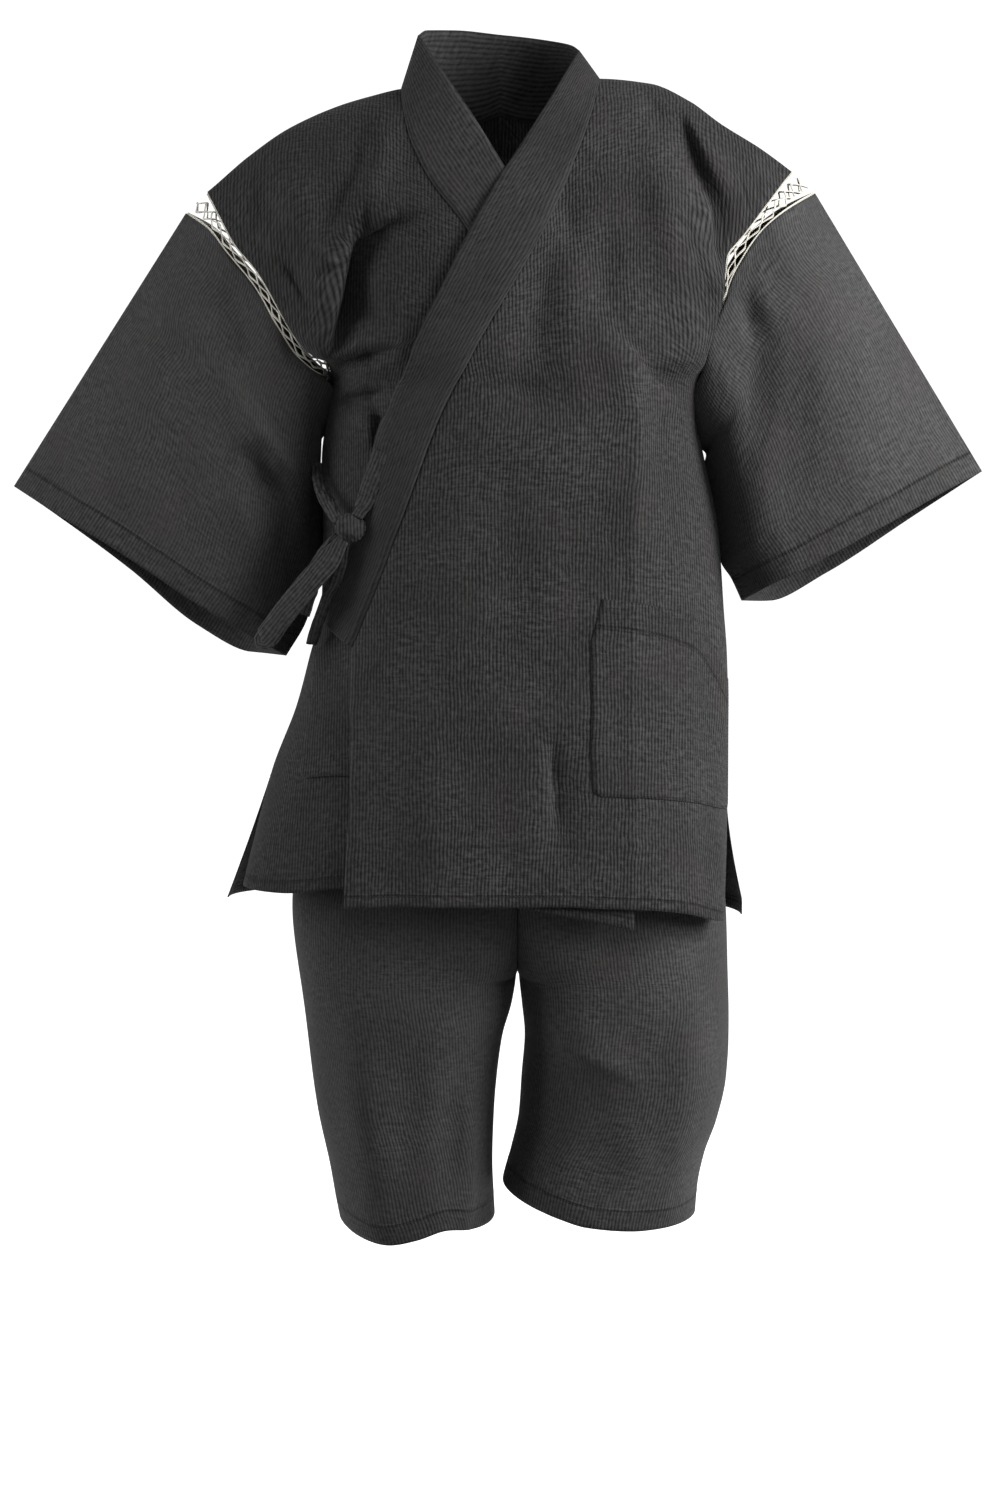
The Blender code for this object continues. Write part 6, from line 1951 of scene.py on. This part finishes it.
# ---- the shorts
@dataclass
class Shorts:
    """The shorts: one length for each leg and a gathered waist casing.

    Attributes:
        columns: Round one leg.
        rows: Waist to crotch, crotch to hem.
        hem_fold: Depth of the hems.
        gathers: Folds round the waist.
        gather_height: How far they stand off.
        seam_calm: Part of a row, from its seam, over which the crotch's blur begins.
    """

    columns: int = 144
    rows: tuple[int, int] = (64, 60)
    hem_fold: float = 0.019
    gathers: int = 46
    gather_height: float = 0.0011
    seam_calm: tuple[float, float] = (0.04, 0.16)

    def row(self, side: Side, level: float) -> Array:
        """Lay out one row of a leg.

        Args:
            side: Left or right.
            level: The row's height.

        Returns:
            Points from the front seam round the outside to the back seam.
        """
        table = LEG[side]
        half = {}
        for face in Face:
            turn = np.linspace(0, 1, FINE)
            z = np.full(FINE, level)
            for _ in range(2):
                inner, outer = table("inner", z), table("outer", z)
                share = (1 - np.cos(turn * math.pi)) / 2
                x = inner + (outer - inner) * share
                weight = ease(*LEG_BEND, level)
                z = level + weight * (LEG_HEM[side]("z", x) - SHORTS_HEM_Z)
            depth = table(face.value, z)
            fall = np.clip((CROTCH_TOP_Z - level) / (CROTCH_TOP_Z - CROTCH_Z), 0, 1)
            closed = 1 - math.sqrt(1 - fall ** 2)
            hip = (1 - share ** LEG_POWER) ** (1 / LEG_POWER)
            leg = np.clip(1 - np.abs(2 * share - 1) ** LEG_POWER, 0, 1) ** (1 / LEG_POWER)
            out = depth * (hip * (1 - closed) + leg * closed)
            height = crease_height(x, z, LEG_CREASES[side, face])
            height = height + drape(x, z, DRAPE_SEED[face] + side.sign * LEG_SEED)
            out = out + height * leg * ease(*LEG_CALM, z)
            half[face] = np.stack([x, out * face.sign, z], axis=-1)
        row = np.vstack([half[FRONT], half[BACK][-2::-1]])
        total = lengths(row)[-1]
        return along(row, np.linspace(SEAM / 2, total - SEAM / 2, self.columns + 1))

    def leg_grid(self, side: Side) -> Array:
        """One leg, waist to hem."""
        top = WAIST_Z - WAISTBAND_HEIGHT - SEAM
        upper = np.linspace(top, CROTCH_Z, self.rows[0] + 1)
        lower = np.linspace(CROTCH_Z, SHORTS_HEM_Z, self.rows[1] + 1)[1:]
        grid = np.array([self.row(side, level) for level in (*upper, *lower)])
        seam_rows = len(upper)
        share = np.linspace(0, 1, self.columns + 1)
        away = ease(*self.seam_calm, np.minimum(share, 1 - share))
        grid = soften(grid, seam_rows - 1, CROTCH_BLUR, away)
        grid[:seam_rows, [0, -1], 0] = SHORTS_CENTRE_X
        sunk = np.abs(sheet_normals(grid)[:seam_rows, [0, -1], 0])
        grid[:seam_rows, [0, -1], 0] += side.sign * (SEAM / 2 + CLOTH * np.sqrt(sunk))
        return grid

    def build(self, thread: Finish) -> None:
        """Make the whole shorts, sewn with the given thread."""
        for side in Side:
            sheet = Sheet.measured(self.leg_grid(side), -side.sign, hems=(-1,))
            sheet.across = sheet.across - sheet.across[:, self.columns // 2][:, None]
            finish = CrepeCloth(f"{side.value}_leg_crepe", 21.0 + side.sign, rib_height=0.00024,
                                pucker_height=0.0008, contrast=0.6, painted_shading=LEG_PAINTED_SHADING[side],
                                fold=self.hem_fold).material()
            line = sheet.line_from_end(self.hem_fold - HEM_STITCH, True)
            make_cloth(f"shorts_{side.value}_leg", sheet, finish, [line], thread)
        rows = []
        for level in np.linspace(WAIST_Z, WAIST_Z - WAISTBAND_HEIGHT, 9):
            left, right = self.row(LEFT, level), self.row(RIGHT, level)
            rows.append(np.vstack([left[:-1], right[::-1][:-1]]))
        grid = np.array(rows)
        turn = np.arange(grid.shape[1]) / grid.shape[1] * 2 * math.pi * self.gathers
        facing = Sheet.measured(grid, -1, hems=(), closed=True).normals()
        grid = grid + facing * ((np.cos(turn) - 1) * self.gather_height)[None, :, None]
        sheet = Sheet.measured(grid, -1, hems=(), closed=True)
        finish = CrepeCloth("waist_casing_crepe", 25.0).material()
        make_cloth("waistband", sheet, finish)


# ---- the ties
@dataclass
class Ties:
    """The outer pair of ties in a half bow.

    Attributes:
        rows: Along a short strap.
        loop_rows: Along the loop.
        columns: Across a strap.
        curl: How far a strap's edges turn back, as a share of its width.
        crumple: Height of the creases in a strap.
        crumples: How many bumps lie across a strap and along it.
        knot_faces: Down the knot and round it.
        wraps: Turns of cloth that show on the knot.
        wrap_height: Depth of the grooves between them, as a share of the knot's radius.
    """

    rows: int = 40
    loop_rows: int = 110
    columns: int = 8
    curl: float = 0.10
    crumple: float = 0.0011
    crumples: tuple[float, float] = (4.0, 11.0)
    knot_faces: tuple[int, int] = (24, 36)
    wraps: float = 2.1
    wrap_height: float = 0.26

    def strap_grid(self, rows: list[tuple[float, ...]], count: int, seed: int) -> Array:
        """Lay out a strap that faces outward and twists by its table.

        Args:
            rows: Its middle, width and twist at a few places.
            count: Number of steps along it.
            seed: Chooses its unevenness.

        Returns:
            Rows of points across the strap.
        """
        strap = Strap(*np.array(rows).T)
        centre = smooth_path(outline(np.stack([strap.x, strap.y, strap.z], axis=-1)), count)
        spot = np.linspace(0, 1, len(rows))
        where = lengths(centre) / lengths(centre)[-1]
        width = through(spot, strap.width / MILLIMETRES, where)
        twist = through(spot, strap.twist, where)
        tangent = unit(np.gradient(centre, axis=0))
        across = unit(np.cross(tangent, TIE_FACING))
        out = np.cross(across, tangent)
        turned = across * np.cos(twist)[:, None] + out * np.sin(twist)[:, None]
        facing = unit(np.cross(turned, tangent))
        share = np.linspace(-0.5, 0.5, self.columns + 1)
        grid = centre[:, None] + turned[:, None] * (share * width[:, None])[..., None]
        bend = -self.curl * width[:, None] * (2 * share) ** 2
        across_bumps, down_bumps = self.crumples
        bend = bend + self.crumple * unevenness(share * across_bumps, where[:, None] * down_bumps,
                                                (1.0, 1.0), seed)
        return grid + facing[:, None] * bend[..., None]

    def knot_mesh(self) -> tuple[Array, Array]:
        """Points and faces of the tight knot, a lump with the wraps of its strap."""
        rings, turns = self.knot_faces
        tilt, spin = np.meshgrid(np.linspace(0, math.pi, rings + 1),
                                 np.arange(turns) * 2 * math.pi / turns, indexing="ij")
        way = np.stack([np.sin(tilt) * np.cos(spin), np.sin(tilt) * np.sin(spin), np.cos(tilt)])
        wave = np.sin(2 * (self.wraps * math.pi * (way[0] * 0.8 + way[2]) + way[1]))
        size = 1 - self.wrap_height * (1 - abs(wave)) ** 2
        points = KNOT_PLACE + np.moveaxis(way * size, 0, -1) * KNOT_SWELL
        faces = grid_corners(rings, turns, turns, tuple((a, b) for b, a in CORNERS))
        return points.reshape(-1, 3), faces.reshape(-1, 4)

    def build(self) -> None:
        """Make the straps, the loop and the knot."""
        finish = CrepeCloth("tie_crepe", 31.0, rib_height=0.00020, pucker_height=0.0008,
                            contrast=0.7).material()
        for k, (name, rows) in enumerate(TIES.items()):
            count = self.loop_rows if name == "tie_loop" else self.rows
            grid = self.strap_grid(rows, count, TIE_SEED + k)
            sheet = Sheet.measured(grid, 1, hems=())
            make_cloth(name, sheet, finish, wall=TIE_CLOTH)
        points, faces = self.knot_mesh()
        flat = points[faces.reshape(-1)][:, [0, 2]]
        knot = build_mesh("tie_knot_cloth", points, faces, finish, flat, flat + FAR_FROM_HEM)
        dress(knot, "tie_knot")


# ---- the studio
@dataclass(frozen=True)
class Softbox:
    """A wide soft lamp.

    Attributes:
        place: Where it stands.
        size: Its width and height.
        power: Its power in watts.
    """

    place: tuple[float, float, float]
    size: tuple[float, float]
    power: float


@dataclass
class Studio:
    """Floor, lamps, sky and camera."""

    floor_z: float = -1.40
    floor_half: float = 14.0
    ambient: float = 0.085
    backdrop: float = 1.1
    aim: tuple[float, float, float] = (0.0, 0.0, -0.45)
    boxes: tuple[Softbox, ...] = (
        Softbox((-3.1, -0.6, 0.5), (1.6, 2.2), 86.0),
        Softbox((2.9, -1.40, 1.0), (2.0, 2.4), 252.0),
        Softbox((0.3, -3.4, 1.5), (1.4, 1.0), 22.0),
    )
    camera_place: tuple[float, float, float] = (0.0, -3.6, -0.12)
    camera_pitch: float = 6.917
    camera_lens: float = 102.39

    def build_floor(self) -> None:
        """Lay the pale floor."""
        half = self.floor_half
        points = np.array([(-half, -half, self.floor_z), (half, -half, self.floor_z),
                           (half, half, self.floor_z), (-half, half, self.floor_z)])
        floor = build_mesh("floor", points, [(0, 1, 2, 3)], StudioPaper().material())
        floor.visible_diffuse = False

    def build_sky(self) -> None:
        """Surround the studio with white that lights it only a little."""
        world = bpy.data.worlds.new("studio")
        world.use_nodes = True
        bpy.context.scene.world = world
        graph = Graph(world.node_tree)
        seen = graph.node("ShaderNodeLightPath").out("Is Camera Ray")
        dim, white = (graph.node("ShaderNodeBackground", {},
                                 {"Color": (1, 1, 1, 1), "Strength": strength})
                      for strength in (self.ambient, self.backdrop))
        both = graph.node("ShaderNodeMixShader", {}, {0: seen, 1: dim.out("Background"),
                                                      2: white.out("Background")})
        graph.node("ShaderNodeOutputWorld", {}, {"Surface": both.out("Shader")})

    def build_lamps(self) -> None:
        """Hang the softboxes, each turned to the clothes."""
        for k, box in enumerate(self.boxes):
            data = bpy.data.lights.new(f"softbox_{k}", "AREA")
            data.shape = "RECTANGLE"
            data.size, data.size_y = box.size
            data.energy = box.power
            lamp = bpy.data.objects.new(f"softbox_{k}", data)
            lamp.location = box.place
            way = Vector(self.aim) - Vector(box.place)
            lamp.rotation_euler = way.to_track_quat("-Z", "Y").to_euler()
            bpy.context.scene.collection.objects.link(lamp)

    def build_camera(self) -> None:
        """Set up the camera in front of the clothes."""
        data = bpy.data.cameras.new("camera")
        data.lens = self.camera_lens
        data.sensor_width = 36.0
        camera = bpy.data.objects.new("camera", data)
        camera.location = self.camera_place
        camera.rotation_euler = (math.radians(90 - self.camera_pitch), 0.0, 0.0)
        bpy.context.scene.collection.objects.link(camera)
        bpy.context.scene.camera = camera

    def build(self) -> None:
        """Make the whole studio."""
        self.build_floor()
        self.build_sky()
        self.build_lamps()
        self.build_camera()
        bpy.context.scene.view_settings.view_transform = "Standard"


def main() -> None:
    """Build the set, its finishes and the studio."""
    logging.basicConfig(level=logging.INFO)
    thread = SewingThread().material()
    ivory = LaceThread().material()
    Studio().build()
    Jacket().build(thread, ivory)
    Shorts().build(thread)
    Ties().build()


if __name__ == "__main__":
    main()
